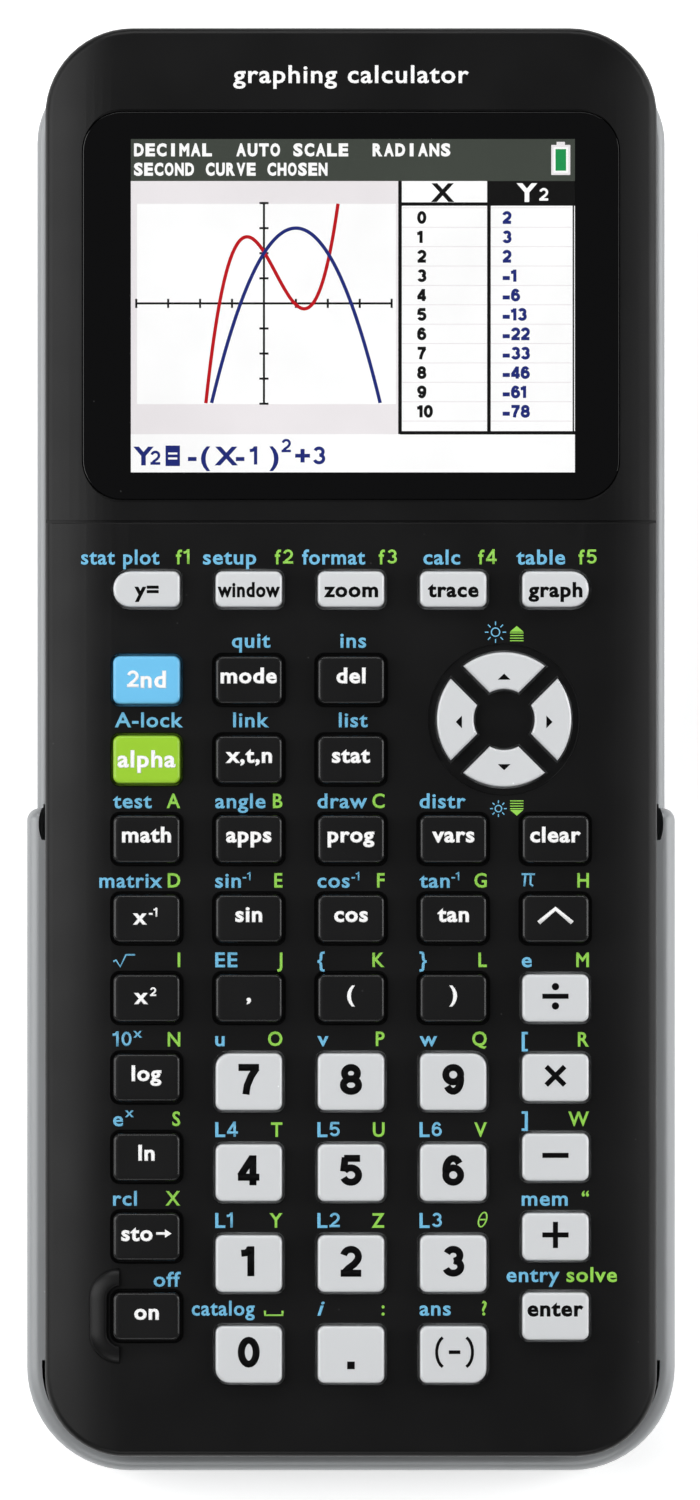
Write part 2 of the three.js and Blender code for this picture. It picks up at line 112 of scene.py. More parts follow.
def discard(piece):
    bpy.data.objects.remove(piece, do_unlink=True)


def show(thing):
    bpy.context.scene.collection.objects.link(thing)


def pick(piece, kind, test):
    """In edit mode, selects just the verts, edges or faces whose every corner passes the test."""
    bpy.ops.mesh.select_all(action="DESELECT")
    bpy.ops.mesh.select_mode(type={"verts": "VERT", "edges": "EDGE", "faces": "FACE"}[kind])
    cage = bmesh.from_edit_mesh(piece.data)
    for part in getattr(cage, kind):
        corners = [part] if kind == "verts" else part.verts
        if all(test(corner.co / MM) for corner in corners):
            part.select_set(True)
    cage.select_flush_mode()
    bmesh.update_edit_mesh(piece.data)


def near(a, b, slack=0.004):
    return abs(a - b) < slack


def pick_level(piece, kind, level):
    pick(piece, kind, lambda p: near(p.z, level))


def pull(distance):
    """Extrudes what is selected upwards."""
    bpy.ops.mesh.extrude_region_move(TRANSFORM_OT_translate={"value": (0, 0, distance * MM)})


def lift(distance):
    """Moves what is selected upwards."""
    bpy.ops.transform.translate(value=(0, 0, distance * MM))


def resize(across, along, centre=(0, 0, 0)):
    bpy.ops.transform.resize(value=(across, along, 1), center_override=centre)


def slice_through(place, facing, **settings):
    select_whole()
    bpy.ops.mesh.bisect(plane_co=place, plane_no=facing, **settings)


def named_primitive(name):
    """The primitive that was just made, named and with its place in its mesh."""
    piece = bpy.context.object
    piece.name = name
    bpy.ops.object.transform_apply()
    return piece


def block(name, low, high):
    """A box from its lowest to its highest corner."""
    low, high = Vector(low), Vector(high)
    deselect_all()
    middle = (low + high) / 2 * MM
    bpy.ops.mesh.primitive_cube_add(size=1, location=middle, scale=(high - low) * MM)
    return named_primitive(name)


def drum(name, centre, radius, bottom, top, sides=48):
    """An upright cylinder."""
    deselect_all()
    place = Vector((centre[0], centre[1], (bottom + top) / 2)) * MM
    size = {"radius": radius * MM, "depth": (top - bottom) * MM}
    bpy.ops.mesh.primitive_cylinder_add(vertices=sides, location=place, **size)
    return named_primitive(name)


def bevel(radius, segments):
    bpy.ops.mesh.bevel(offset=radius * MM, segments=segments, affect="EDGES")


def round_corners(piece, radii, segments):
    """Bevels the four upright edges of a box; radii go top left, top right, bottom right, bottom left."""
    xs = [v.co.x / MM for v in piece.data.vertices]
    ys = [v.co.y / MM for v in piece.data.vertices]
    corners = [(min(xs), max(ys)), (max(xs), max(ys)), (max(xs), min(ys)), (min(xs), min(ys))]
    edit(piece)
    for (x, y), radius in zip(corners, radii):
        if radius:
            pick(piece, "edges", lambda p: near(p.x, x) and near(p.y, y))
            bevel(radius, segments)
    stop_editing()


def round_rim(piece, level, radius, segments=3):
    """Bevels the edges that lie at one level."""
    edit(piece)
    pick_level(piece, "edges", level)
    bevel(radius, segments)
    stop_editing()


def slab(name, low, high, radii, segments=8):
    """A box with rounded upright corners."""
    piece = block(name, low, high)
    round_corners(piece, radii if isinstance(radii, (list, tuple)) else [radii] * 4, segments)
    return piece


def cutter(name, low, high, radii, rim_z, flare=0.2, segments=6):
    """A slab that cuts a hole and widens where it passes the surface, so the hole gets a softened rim."""
    low, high = Vector(low), Vector(high)
    piece = slab(name, low, (high.x, high.y, rim_z - flare), radii, segments)
    edit(piece)
    pick_level(piece, "faces", rim_z - flare)
    wide, tall = high.x - low.x, high.y - low.y
    pull(2 * flare)
    centre = Vector(((low.x + high.x) / 2, (low.y + high.y) / 2, 0)) * MM
    resize((wide + 4 * flare) / wide, (tall + 4 * flare) / tall, centre)
    if high.z > rim_z + flare:
        pull(high.z - rim_z - flare)
    stop_editing()
    return piece


def apply_modifier(piece, kind, **settings):
    activate(piece)
    modifier = piece.modifiers.new(kind.title(), kind)
    for name, value in settings.items():
        setattr(modifier, name, value)
    bpy.ops.object.modifier_apply(modifier=modifier.name)


def combine(piece, other, operation="DIFFERENCE"):
    """Cuts, adds or intersects another solid, which is used up."""
    apply_modifier(piece, "BOOLEAN", operation=operation, solver="EXACT", object=other)
    discard(other)


def join(pieces, name):
    activate(pieces[0])
    for piece in pieces:
        piece.select_set(True)
    bpy.ops.object.join()
    joined = bpy.context.object
    joined.name = name
    return joined


def soften(piece, angle=32):
    """Smooth shading on rounded faces, flat shading on flat ones."""
    activate(piece)
    bpy.ops.object.shade_smooth_by_angle(angle=math.radians(angle))
    apply_modifier(piece, "WEIGHTED_NORMAL", keep_sharp=True)


def turned(angle):
    """A turn about the upright axis."""
    return Matrix.Rotation(angle, 4, "Z")


def moved(x, y, z):
    return Matrix.Translation(Vector((x, y, z)) * MM)


def copy_to(piece, name, move=(0, 0, 0), turn=0.0):
    """A copy with its own mesh, turned about the upright axis and moved."""
    made = piece.copy()
    made.data = piece.data.copy()
    made.name = name
    show(made)
    made.data.transform(moved(*move) @ turned(turn))
    return made


def weld(piece, distance=0.001):
    """Merges corners that lie on each other."""
    edit(piece)
    select_whole()
    bpy.ops.mesh.remove_doubles(threshold=distance * MM)
    stop_editing()


def paint(piece, *materials):
    piece.data.materials.clear()
    for material in materials:
        piece.data.materials.append(material)


def settle(piece, slot, *nodes, body="housing"):
    """Puts a finished piece on its body, in the frame node's stead."""
    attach(piece, body)
    if nodes:
        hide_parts(*nodes)


def coat_with(piece, material, angle=32):
    soften(piece, angle)
    paint(piece, material)


# ---- shared surface effects
def fill(node, **values):
    """Sets inputs of a node by their names, with a low line for each space."""
    for name, value in values.items():
        node.inputs[name.replace("_", " ")].default_value = value
    return node


def new_group(name, inputs, outputs):
    group = bpy.data.node_groups.new(name, "ShaderNodeTree")
    for socket, value in inputs.items():
        made = group.interface.new_socket(socket, in_out="INPUT", socket_type="NodeSocketFloat")
        made.default_value = value
    for socket in outputs:
        group.interface.new_socket(socket, in_out="OUTPUT", socket_type="NodeSocketFloat")
    return group, group.nodes.new("NodeGroupInput"), group.nodes.new("NodeGroupOutput")


def per_metre(group, size):
    """A node that turns a size in millimetres into a texture scale."""
    scale = group.nodes.new("ShaderNodeMath")
    scale.operation = "DIVIDE"
    scale.inputs[0].default_value = 1000.0
    group.links.new(size, scale.inputs[1])
    return scale.outputs[0]


def grain_group():
    """Moulding texture: fine grain for bump, with larger soft patches for roughness."""
    sizes = {"Size": 0.3, "Patch Size": 12.0}
    group, inputs, outputs = new_group("Moulded grain", sizes, ["Height", "Patches"])
    nodes, link = group.nodes, group.links.new
    place = nodes.new("ShaderNodeTexCoord")
    for size, output, detail in (("Size", "Height", 3.0), ("Patch Size", "Patches", 2.0)):
        noise = fill(nodes.new("ShaderNodeTexNoise"), Detail=detail)
        link(place.outputs["Object"], noise.inputs["Vector"])
        link(per_metre(group, inputs.outputs[size]), noise.inputs["Scale"])
        link(noise.outputs["Fac"], outputs.inputs[output])
    return group


def dust_group():
    """Sparse specks of dust."""
    group, inputs, outputs = new_group("Dust specks", {"Spacing": 4.0, "Amount": 0.1}, ["Mask"])
    nodes, link = group.nodes, group.links.new
    place = nodes.new("ShaderNodeTexCoord")
    specks = nodes.new("ShaderNodeTexVoronoi")
    limit = nodes.new("ShaderNodeMath")
    limit.operation = "LESS_THAN"
    link(place.outputs["Object"], specks.inputs["Vector"])
    link(per_metre(group, inputs.outputs["Spacing"]), specks.inputs["Scale"])
    link(specks.outputs["Distance"], limit.inputs[0])
    link(inputs.outputs["Amount"], limit.inputs[1])
    link(limit.outputs[0], outputs.inputs["Mask"])
    return group


GRAIN = grain_group()
DUST = dust_group()
DUST_AMOUNT = 0.03
COAT_ROUGHNESS = 0.15
BUMP_STRENGTH = 0.5
BACKLIGHT_PATCH = 30.0


def toned(color, share, added=0.0):
    """A lighter or darker tone of a colour."""
    return (*[min(1, c * share + added) for c in color], 1)


def new_mix(material, **tones):
    mix = material.node_tree.nodes.new("ShaderNodeMix")
    mix.data_type = "RGBA"
    return fill(mix, **tones)


def effect(material, group, **values):
    node = material.node_tree.nodes.new("ShaderNodeGroup")
    node.node_tree = group
    return fill(node, **values)


def set_shader(material, **values):
    return fill(material.node_tree.nodes["Principled BSDF"], **values)


def moulded(
    name, color, roughness, color_shift=0.12, roughness_shift=0.08, grain=0.3, patch=12.0,
    bump=0.02, metallic=0.0, specular=0.5, coat=0.0, dust=0.0,
):
    """A moulded, painted or printed surface with grain, soft patches and a little dust."""
    material = bpy.data.materials.new(name)
    material.use_nodes = True
    nodes, link = material.node_tree.nodes, material.node_tree.links.new
    shader = set_shader(material, Metallic=metallic, Specular_IOR_Level=specular)
    set_shader(material, Coat_Weight=coat, Coat_Roughness=COAT_ROUGHNESS)

    surface = effect(material, GRAIN, Size=grain, Patch_Size=patch)
    tone = new_mix(material, A=toned(color, 1 - color_shift), B=toned(color, 1 + color_shift))
    link(surface.outputs["Patches"], tone.inputs["Factor"])

    specks = effect(material, DUST, Amount=DUST_AMOUNT + dust)
    dusted = new_mix(material, B=toned(color, 1.3, 0.02))
    link(specks.outputs["Mask"], dusted.inputs["Factor"])
    link(tone.outputs["Result"], dusted.inputs["A"])
    link(dusted.outputs["Result"], shader.inputs["Base Color"])

    sheen = nodes.new("ShaderNodeMapRange")
    fill(sheen, To_Min=roughness - roughness_shift, To_Max=roughness + roughness_shift)
    link(surface.outputs["Patches"], sheen.inputs["Value"])
    link(sheen.outputs["Result"], shader.inputs["Roughness"])

    relief = fill(nodes.new("ShaderNodeBump"), Strength=BUMP_STRENGTH, Distance=bump * MM)
    link(surface.outputs["Height"], relief.inputs["Height"])
    link(relief.outputs["Normal"], shader.inputs["Normal"])
    return material


def lit(name, color, strength=1.0):
    """A lit area of the display, a little uneven as a backlight is."""
    material = moulded(name, [c * 0.05 for c in color], 0.5, bump=0.0)
    link = material.node_tree.links.new
    shader = set_shader(material, Emission_Strength=strength, Specular_IOR_Level=0.0)
    backlight = effect(material, GRAIN, Patch_Size=BACKLIGHT_PATCH)
    glow = new_mix(material, A=toned(color, 0.985), B=toned(color, 1))
    link(backlight.outputs["Patches"], glow.inputs["Factor"])
    link(glow.outputs["Result"], shader.inputs["Emission Color"])
    return material


def clear_plastic(name):
    material = moulded(name, (1, 1, 1), 0.03, roughness_shift=0.01, bump=0.0)
    set_shader(material, Transmission_Weight=1.0, IOR=1.49)
    return material


def plastic(name, color, roughness, **settings):
    """The smooth moulded plastic of the keys."""
    return moulded(name, color, roughness, grain=0.2, **settings)


def ink_finish(name, color, roughness=0.42, **settings):
    return moulded(name, color, roughness, bump=0.004, **settings)


SHELL_BLACK = moulded("shell_black", (0.004, 0.004, 0.0042), 0.38, grain=0.25, bump=0.012, specular=0.23)
REAR_BLACK = moulded("rear_black", (0.016, 0.016, 0.017), 0.58, grain=0.5, bump=0.05, dust=0.03)
GLOSSY_LOOKS = {"roughness_shift": 0.04, "bump": 0.005, "specular": 0.45}
KEY_BLACK = plastic("key_black", (0.006, 0.006, 0.0063), 0.27, **GLOSSY_LOOKS)
KEY_WHITE = plastic("key_white", (0.685, 0.7, 0.715), 0.34, color_shift=0.02, bump=0.006, coat=1.0)
KEY_BLUE = plastic("key_blue", (0.16, 0.55, 0.87), 0.34, color_shift=0.04, bump=0.006)
KEY_GREEN = plastic("key_green", (0.33, 0.62, 0.03), 0.34, color_shift=0.04, bump=0.006)
SILVER_LOOKS = {"color_shift": 0.05, "grain": 0.18, "bump": 0.015, "metallic": 0.12}
CASE_SILVER = moulded("case_silver", (0.34, 0.352, 0.362), 0.36, **SILVER_LOOKS)
LENS_BLACK = moulded("lens_black", (0.0015, 0.0015, 0.0018), 0.07, roughness_shift=0.02, bump=0.0)
LENS_CLEAR = clear_plastic("lens_clear")
RUBBER = moulded("grey_rubber", (0.27, 0.29, 0.3), 0.75, grain=0.4, bump=0.03)
FOOT_RUBBER = moulded("foot_rubber", (0.02, 0.02, 0.021), 0.8, grain=0.4, bump=0.04)
BOARD_GREEN = moulded("board_green", (0.013, 0.1, 0.036), 0.35, color_shift=0.2, grain=1.5, bump=0.03)
BATTERY_WRAP = moulded("battery_wrap", (0.024, 0.026, 0.033), 0.3, grain=2.0, bump=0.02, coat=0.3)
DISPLAY_METAL = moulded("display_metal", (0.48, 0.49, 0.51), 0.32, grain=0.4, bump=0.01, metallic=1.0)
SCREW_STEEL = moulded("screw_steel", (0.06, 0.06, 0.065), 0.3, grain=0.3, bump=0.01, metallic=1.0)
INK_WHITE = ink_finish("ink_white", (0.98, 0.98, 0.98), 0.4, color_shift=0.02)
INK_BLACK = ink_finish("ink_black", (0.002, 0.002, 0.0022), 0.55, specular=0.06)
INK_BLUE = ink_finish("ink_blue", (0.17, 0.52, 0.78), color_shift=0.05)
INK_GREEN = ink_finish("ink_green", (0.3, 0.68, 0.08), color_shift=0.05)
LIT_WHITE = lit("lit_white", (1.0, 1.0, 1.0), 1.12)
LIT_GREY = lit("lit_grey", (0.94, 0.9, 0.92))
LIT_HEADER = lit("lit_header", (0.058, 0.068, 0.056))
LIT_BLACK = lit("lit_black", (0.003, 0.003, 0.003))
LIT_RED = lit("lit_red", (0.55, 0.004, 0.01))
LIT_BLUE = lit("lit_blue", (0.013, 0.024, 0.2))
LIT_GREEN = lit("lit_green", (0.015, 0.33, 0.09))


# ---- lettering
CAP_SHARE = 0.73
LETTER_WIDTH = 1.08
LETTER_SPACE = 1.1
KEY_WEIGHT = 0.036
PRINT_WEIGHT = 0.023
TITLE_WEIGHT = 0.02
INK_THICK = 0.03
CROSSING_STEP = 0.003
FIGURE_HEIGHT = 3.94


def arc(x, y, across, up, start, end):
    """Points along part of an ellipse, from one angle to another in degrees."""
    steps = max(6, round(abs(end - start) / 15))
    angles = [math.radians(start + (end - start) * step / steps) for step in range(steps + 1)]
    return [(x + across * math.cos(angle), y + up * math.sin(angle)) for angle in angles]


FIGURE_STROKES = {
    "0": [arc(0, 0, 0.98, 1.57, 0, 360)],
    "1": [[(0.28, -1.97), (0.28, 1.97)], [(-0.98, 1.05), (-0.4, 1.1), (0, 1.35), (0.15, 1.75)]],
    "2": [arc(0, 0.62, 0.98, 0.95, 168, -30) + [(0.45, -0.35), (-0.35, -0.95), (-0.85, -1.5)],
          [(-1.35, -1.57), (1.35, -1.57)]],
    "3": [arc(0, 0.78, 0.88, 0.79, 160, -85), arc(0, -0.72, 1, 0.85, 85, -162)],
    "4": [[(0.55, -1.97), (0.55, 1.97)], [(0.5, 1.75), (-1.12, -0.75)], [(-1.42, -0.9), (1.4, -0.9)]],
    "5": [[(-0.9, 1.57), (1.2, 1.57)], [(-0.76, 1.7), (-0.98, -0.15)],
          arc(-0.02, -0.62, 1.02, 0.95, 145, -158)],
    "6": [arc(0, -0.62, 0.98, 0.95, 0, 360), arc(0, 0, 0.98, 1.57, 35, 190)],
    "7": [[(-1.35, 1.57), (1.35, 1.57)], [(1.02, 1.5), (0.3, 0.4), (-0.2, -0.8), (-0.38, -1.97)]],
    "8": [arc(0, 0.8, 0.85, 0.77, 0, 360), arc(0, -0.75, 1, 0.83, 0, 360)],
    "9": [arc(0, 0.62, 0.98, 0.95, 0, 360), arc(0, 0, 0.98, 1.57, 215, 370)],
}


def ribbon(points, width, z, material):
    """A flat stroke of ink or lit screen along some points."""
    data = bpy.data.curves.new("stroke", "CURVE")
    data.dimensions = "3D"
    data.bevel_depth = width / math.sqrt(2) * MM
    data.bevel_resolution = 0
    data.use_fill_caps = True
    data.twist_mode = "Z_UP"
    spline = data.splines.new("POLY")
    closed = math.dist(points[0], points[-1]) < 0.001
    points = points[:-1] if closed else points
    spline.use_cyclic_u = closed
    spline.points.add(len(points) - 1)
    for point, (x, y) in zip(spline.points, points):
        point.co = (x * MM, y * MM, 0, 1)
        point.tilt = math.pi / 4
    stroke = bpy.data.objects.new("stroke", data)
    show(stroke)
    activate(stroke)
    bpy.ops.object.convert(target="MESH")
    stroke = bpy.context.object
    weld(stroke)
    stroke.scale.z = INK_THICK / width
    stroke.location.z = z * MM
    bpy.ops.object.transform_apply()
    paint(stroke, material)
    return stroke


def crossing(strokes, width, z, ink):
    """Strokes that cross or touch, each a hair higher than the one before it."""
    return [ribbon(points, width, z + CROSSING_STEP * number, ink) for number, points in enumerate(strokes)]


def figure(digit, cap, x, y, z, ink, width=0.8):
    """A digit drawn with plain even strokes."""
    size = cap / FIGURE_HEIGHT
    strokes = [[(x + size * px, y + size * py) for px, py in points] for points in FIGURE_STROKES[digit]]
    return join(crossing(strokes, width * size, z, ink), digit)


def letters(words, cap, weight, material, stretch, slant):
    """Letters as thin raised ink, with their left edge and half the height of a capital at the origin."""
    deselect_all()
    bpy.ops.object.text_add()
    text = bpy.context.object
    size = cap / CAP_SHARE * MM
    text.data.body = words
    text.data.size = size
    text.data.space_character = LETTER_SPACE
    text.data.shear = slant
    text.data.bevel_depth = weight * size
    text.data.bevel_resolution = 0
    text.data.resolution_u = 3
    bpy.ops.object.convert(target="MESH")
    ink = bpy.context.object
    weld(ink)
    left = min(v.co.x for v in ink.data.vertices)
    ink.location = Vector((-left * stretch, -cap / 2 * MM, 0))
    ink.scale = (stretch, 1, INK_THICK / 2 * MM / (weight * size))
    bpy.ops.object.transform_apply()
    paint(ink, material)
    return ink


def right_edge(piece):
    return max(v.co.x for v in piece.data.vertices) / MM


def starting_at(x, wide, align):
    """Where something this wide starts when it is aligned to a place."""
    return {"LEFT": x, "CENTER": x - wide / 2, "RIGHT": x - wide}[align]


def lettering(
    words, cap, x, y, z, align="CENTER", weight=0.035, most=None, material=None, stretch=1.0, slant=0.0
):
    """A word of ink: cap is the height of a capital, and most is the widest it may be."""
    parts, reach = [], 0
    for run in re.findall(r"\d|\D+", words):
        if run in FIGURE_STROKES:
            half = cap * (0.22 if run == "1" else 0.35)
            part = figure(run, cap, reach + half, 0, 0, material, 0.45 + 8 * weight)
            reach += 2 * half + 0.1 * cap
        else:
            part = letters(run, cap, weight, material, stretch, slant)
            part.data.transform(moved(reach, 0, 0))
            spaces = len(run) - len(run.rstrip())
            reach = right_edge(part) + cap * (0.12 + 0.35 * spaces)
        parts.append(part)
    ink = join(parts, "lettering")
    wide = right_edge(ink)
    squeeze = min(1, most / wide) if most else 1
    start = starting_at(x, wide * squeeze, align)
    ink.data.transform(moved(start, y, z) @ Matrix.Diagonal((squeeze, 1, 1, 1)))
    return ink


def raised(words, power, cap, x, y, z, align="CENTER", **looks):
    """A word followed by a small raised power."""
    base = lettering(words, cap, 0, y, z, "LEFT", **looks)
    share, height = (0.66, 0.85) if power == "x" else (0.56, 0.5)
    small = lettering(power, cap * share, right_edge(base) + 0.22, y + height, z, "LEFT", **looks)
    ink = join([base, small], words)
    ink.data.transform(moved(starting_at(x, right_edge(ink), align), 0, 0))
    return ink


def bar(x0, x1, y0, y1, z, material):
    """A thin rectangle of ink or lit screen."""
    piece = block("bar", (x0, y0, z - INK_THICK / 2), (x1, y1, z + INK_THICK / 2))
    paint(piece, material)
    return piece


def tip(x, y, z, half_width, height, turn, material):
    """A small triangle that points up the object, turned by a number of quarter turns."""
    deselect_all()
    bpy.ops.mesh.primitive_cylinder_add(vertices=3, radius=1 * MM, depth=INK_THICK * MM)
    piece = bpy.context.object
    sized = Matrix.Diagonal((half_width / 0.866, height / 1.5, 1, 1)) @ moved(0, -0.25, 0)
    piece.data.transform(turned(turn * QUARTER_TURN) @ sized)
    piece.data.transform(moved(x, y, z))
    paint(piece, material)
    return piece


# ---- front shell
SHELL_CORNERS = (11.5, 11.5, 10.6, 10.6)
SHELL_WALL = 1.6
SIDE_ROOM_TOP = 16.6
MIDDLE_ROOM_HALF = 33.5
SEAM_HALF = 0.17
DISH_RADIUS = 10.0
DISH_DEPTH = 0.35
GUARD_GAP = 0.75
GUARD_WIDTH = 2.35
GUARD_HEIGHT = 2.5


def roll_at(x):
    """How far the face has dropped at this distance from the middle."""
    start = SHELL_HIGH.x - ROLL_WIDTH
    radius = (ROLL_WIDTH**2 + ROLL_DROP**2) / (2 * ROLL_DROP)
    beyond = max(0, abs(x) - start)
    return radius - math.sqrt(radius**2 - beyond**2)


def roll_sides(piece, lowest):
    """Cuts lines along a piece near both sides, and lets what is above a level follow the face's roll."""
    edit(piece)
    for step in range(ROLL_STEPS):
        line = SHELL_HIGH.x - ROLL_WIDTH * (1 - step / ROLL_STEPS)
        for side in (-1, 1):
            slice_through((side * line * MM, 0, 0), (1, 0, 0))
    select_whole()
    bpy.ops.mesh.remove_doubles(threshold=0.05 * MM)
    cage = bmesh.from_edit_mesh(piece.data)
    lines = sorted({round(abs(v.co.x) / MM, 2) for v in cage.verts if v.co.z > lowest * MM})
    for line in lines:
        if roll_at(line) > 0:
            pick(piece, "verts", lambda p: round(abs(p.x), 2) == line and p.z > lowest)
            lift(-roll_at(line))
    select_whole()
    bpy.ops.mesh.quads_convert_to_tris()
    stop_editing()


def rolled_block():
    """The shell's outside: rounded corners, a softened rim, and a face that rolls down to both sides."""
    high = (SHELL_HIGH.x, SHELL_HIGH.y, FACE_Z)
    shell = slab("front_shell_looks", SHELL_LOW, high, SHELL_CORNERS, segments=14)
    round_rim(shell, FACE_Z, 0.9, segments=4)
    roll_sides(shell, FACE_Z - 1)
    return shell


def seam_cutter():
    """The fine groove across the face under the window, with a softened edge towards the keys."""
    reach, top = SHELL_HIGH.x + 0.6, FACE_Z + 3
    groove = block("seam", (-reach, SEAM_Y - SEAM_HALF, FACE_Z - 0.5), (reach, SEAM_Y + SEAM_HALF, top))
    soft_y, soft_z = SEAM_Y - 0.42, FACE_Z - 0.13
    soft = block("soft_edge", (-reach, soft_y, soft_z), (reach, SEAM_Y, top))
    edit(soft)
    pick(soft, "edges", lambda p: near(p.y, soft_y) and near(p.z, soft_z))
    lift(0.15)
    stop_editing()
    combine(groove, soft, "UNION")
    roll_sides(groove, PARTING_Z)
    return groove


ARROWS = {"up": 0, "left": 1, "down": 2, "right": 3}
ALL_KEYS = [node.removeprefix("key_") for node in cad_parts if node.startswith("key_")]
KEYS = [name for name in ALL_KEYS if name not in ARROWS]


def key_box(name):
    """The cap of a key, without the flange that lies under the shell."""
    low, high = box_mm("key_" + name)
    flange = ARROW_FLANGE if name in ARROWS else FLANGE
    margin = Vector((flange, flange, 0))
    return low + margin, high - margin


def middle_of(first, second):
    corners = [*key_box(first), *key_box(second)]
    return sum(corners, Vector()) / 4


PAD_CENTRE = Vector((middle_of("left", "right").x, middle_of("up", "down").y, 0))
PAD_RADIUS = key_box("up")[1].y - PAD_CENTRE.y
PAD_HOLE = 4.0
PAD_HALF_GAP = 1.09

TIGHT = 0.95
WIDE = 1.9
LARGE = 2.3
KEY_CORNERS = {
    "y_equals": (LARGE, TIGHT, TIGHT, LARGE),
    "graph": (TIGHT, LARGE, LARGE, TIGHT),
    "7": (WIDE, TIGHT, TIGHT, TIGHT),
    "9": (TIGHT, WIDE, TIGHT, TIGHT),
    "0": (TIGHT, TIGHT, TIGHT, WIDE),
    "negative": (TIGHT, TIGHT, WIDE, TIGHT),
}


def key_corners(name):
    return KEY_CORNERS.get(name, (TIGHT, TIGHT, TIGHT, TIGHT))


def arrow_block(name, grow, bottom, top):
    """A quarter of a ring that points up the object, about the pad's centre at the origin."""
    ring = drum(name, (0, 0), PAD_RADIUS + grow, bottom, top, 96)
    combine(ring, drum("hole", (0, 0), PAD_HOLE - grow, bottom - 1, top + 1, 64))
    edit(ring)
    for side in (-1, 1):
        away = Vector((side, -1, 0)).normalized()
        start = away * -(PAD_HALF_GAP - grow) * MM
        slice_through(start, away, use_fill=True, clear_outer=True)
    stop_editing()
    return ring


def key_holes():
    bottom, top = FACE_Z - 4, FACE_Z + 1
    cutters = []
    for name in KEYS:
        low, high = key_box(name)
        radii = [radius + KEY_GAP for radius in key_corners(name)]
        low = (low.x - KEY_GAP, low.y - KEY_GAP, bottom)
        high = (high.x + KEY_GAP, high.y + KEY_GAP, top)
        cutters.append(cutter("hole", low, high, radii, FACE_Z, 0.12, 4))
    master = arrow_block("hole", KEY_GAP, bottom, top)
    for turn in ARROWS.values():
        cutters.append(copy_to(master, "hole", PAD_CENTRE, turn * QUARTER_TURN))
    discard(master)
    return join(cutters, "holes")


def front_shell():
    shell = rolled_block()
    dish_floor = FACE_Z - DISH_DEPTH
    dish = drum("dish", PAD_CENTRE, DISH_RADIUS, dish_floor, FACE_Z + 2, 96)
    round_rim(dish, dish_floor, 0.2, 2)
    combine(shell, dish)
    combine(shell, seam_cutter())
    combine(shell, key_holes())
    margin = Vector((0.15, 0.15, 0))
    low, high = LENS_LOW - margin, LENS_HIGH + margin
    combine(shell, cutter("pocket", low, (high.x, high.y, FACE_Z + 1), [5.3] * 4, FACE_Z, 0.25, 10))
    half = SCREEN_SIZE / 2 + Vector((1, 1, 0))
    low, high = SCREEN_CENTRE - half, SCREEN_CENTRE + half
    combine(shell, slab("opening", (low.x, low.y, FACE_Z - 4), (high.x, high.y, FACE_Z + 1), 1))
    wall = Vector((SHELL_WALL, SHELL_WALL, 0))
    low, high, bottom = SHELL_LOW + wall, SHELL_HIGH - wall, PARTING_Z - 1
    combine(shell, slab("side_room", (low.x, low.y, bottom), (high.x, high.y, SIDE_ROOM_TOP), 9.5))
    reach = MIDDLE_ROOM_HALF
    combine(shell, slab("room", (-reach, low.y, bottom), (reach, high.y, FACE_Z - 1.8), 6))
    coat_with(shell, SHELL_BLACK)
    settle(shell, "front_black", "front_shell")


def on_key_guard():
    """The soft raised lip round the left of the on key."""
    low, high = key_box("on")
    top = SHELL_HIGH.z
    foot = FACE_Z - 0.25
    around = GUARD_GAP + GUARD_WIDTH
    outer_low = (low.x - around, low.y - around, 0)
    guard = slab("on_key_guard", outer_low, (low.x + 7, high.y + around, GUARD_HEIGHT), 4, 10)
    round_rim(guard, GUARD_HEIGHT, 2.3, 9)
    flatten = Matrix.Diagonal((1, 1, (top - foot) / GUARD_HEIGHT, 1))
    guard.data.transform(moved(0, 0, foot) @ flatten)
    room_low = (low.x - GUARD_GAP, low.y - GUARD_GAP, 0)
    combine(guard, cutter("room", room_low, (high.x + 9, high.y + GUARD_GAP, top + 1), 1.7, top, 0.12))
    combine(guard, block("end", (low.x + 0.85, low.y - 9, 0), (high.x + 9, high.y + 9, top + 2)))
    coat_with(guard, SHELL_BLACK, 50)
    settle(guard, "front_black")


# ---- keys
CAP_CROWN = 0.03
CAP_TAPER = 0.24
CAP_RIM = 0.34


def key_cap(size, radii):
    """A key cap at the origin with a rounded rim, a slightly crowned top and the flange that holds it in."""
    width, height, bottom, top = size
    skirt = bottom + FLANGE_THICK
    cap = slab("cap", (-width / 2, -height / 2, skirt), (width / 2, height / 2, top), radii, 6)
    edit(cap)
    pick_level(cap, "faces", top)
    resize(1 - CAP_TAPER / width, 1 - CAP_TAPER / height)
    pick_level(cap, "edges", top)
    bevel(CAP_RIM, 4)
    pick_level(cap, "faces", top)
    bpy.ops.mesh.inset(thickness=0.42 * MM)
    lift(CAP_CROWN)
    pick_level(cap, "faces", skirt)
    bpy.ops.mesh.extrude_region_move()
    resize(1 + 2 * FLANGE / width, 1 + 2 * FLANGE / height)
    pull(-FLANGE_THICK)
    stop_editing()
    soften(cap, 40)
    return cap


def arrow_cap(bottom, top):
    cap = arrow_block("cap", 0, bottom + FLANGE_THICK, top)
    round_rim(cap, top, CAP_RIM, 4)
    rim = arrow_block("rim", ARROW_FLANGE, bottom, bottom + FLANGE_THICK)
    combine(cap, rim, "UNION")
    soften(cap, 40)
    return cap


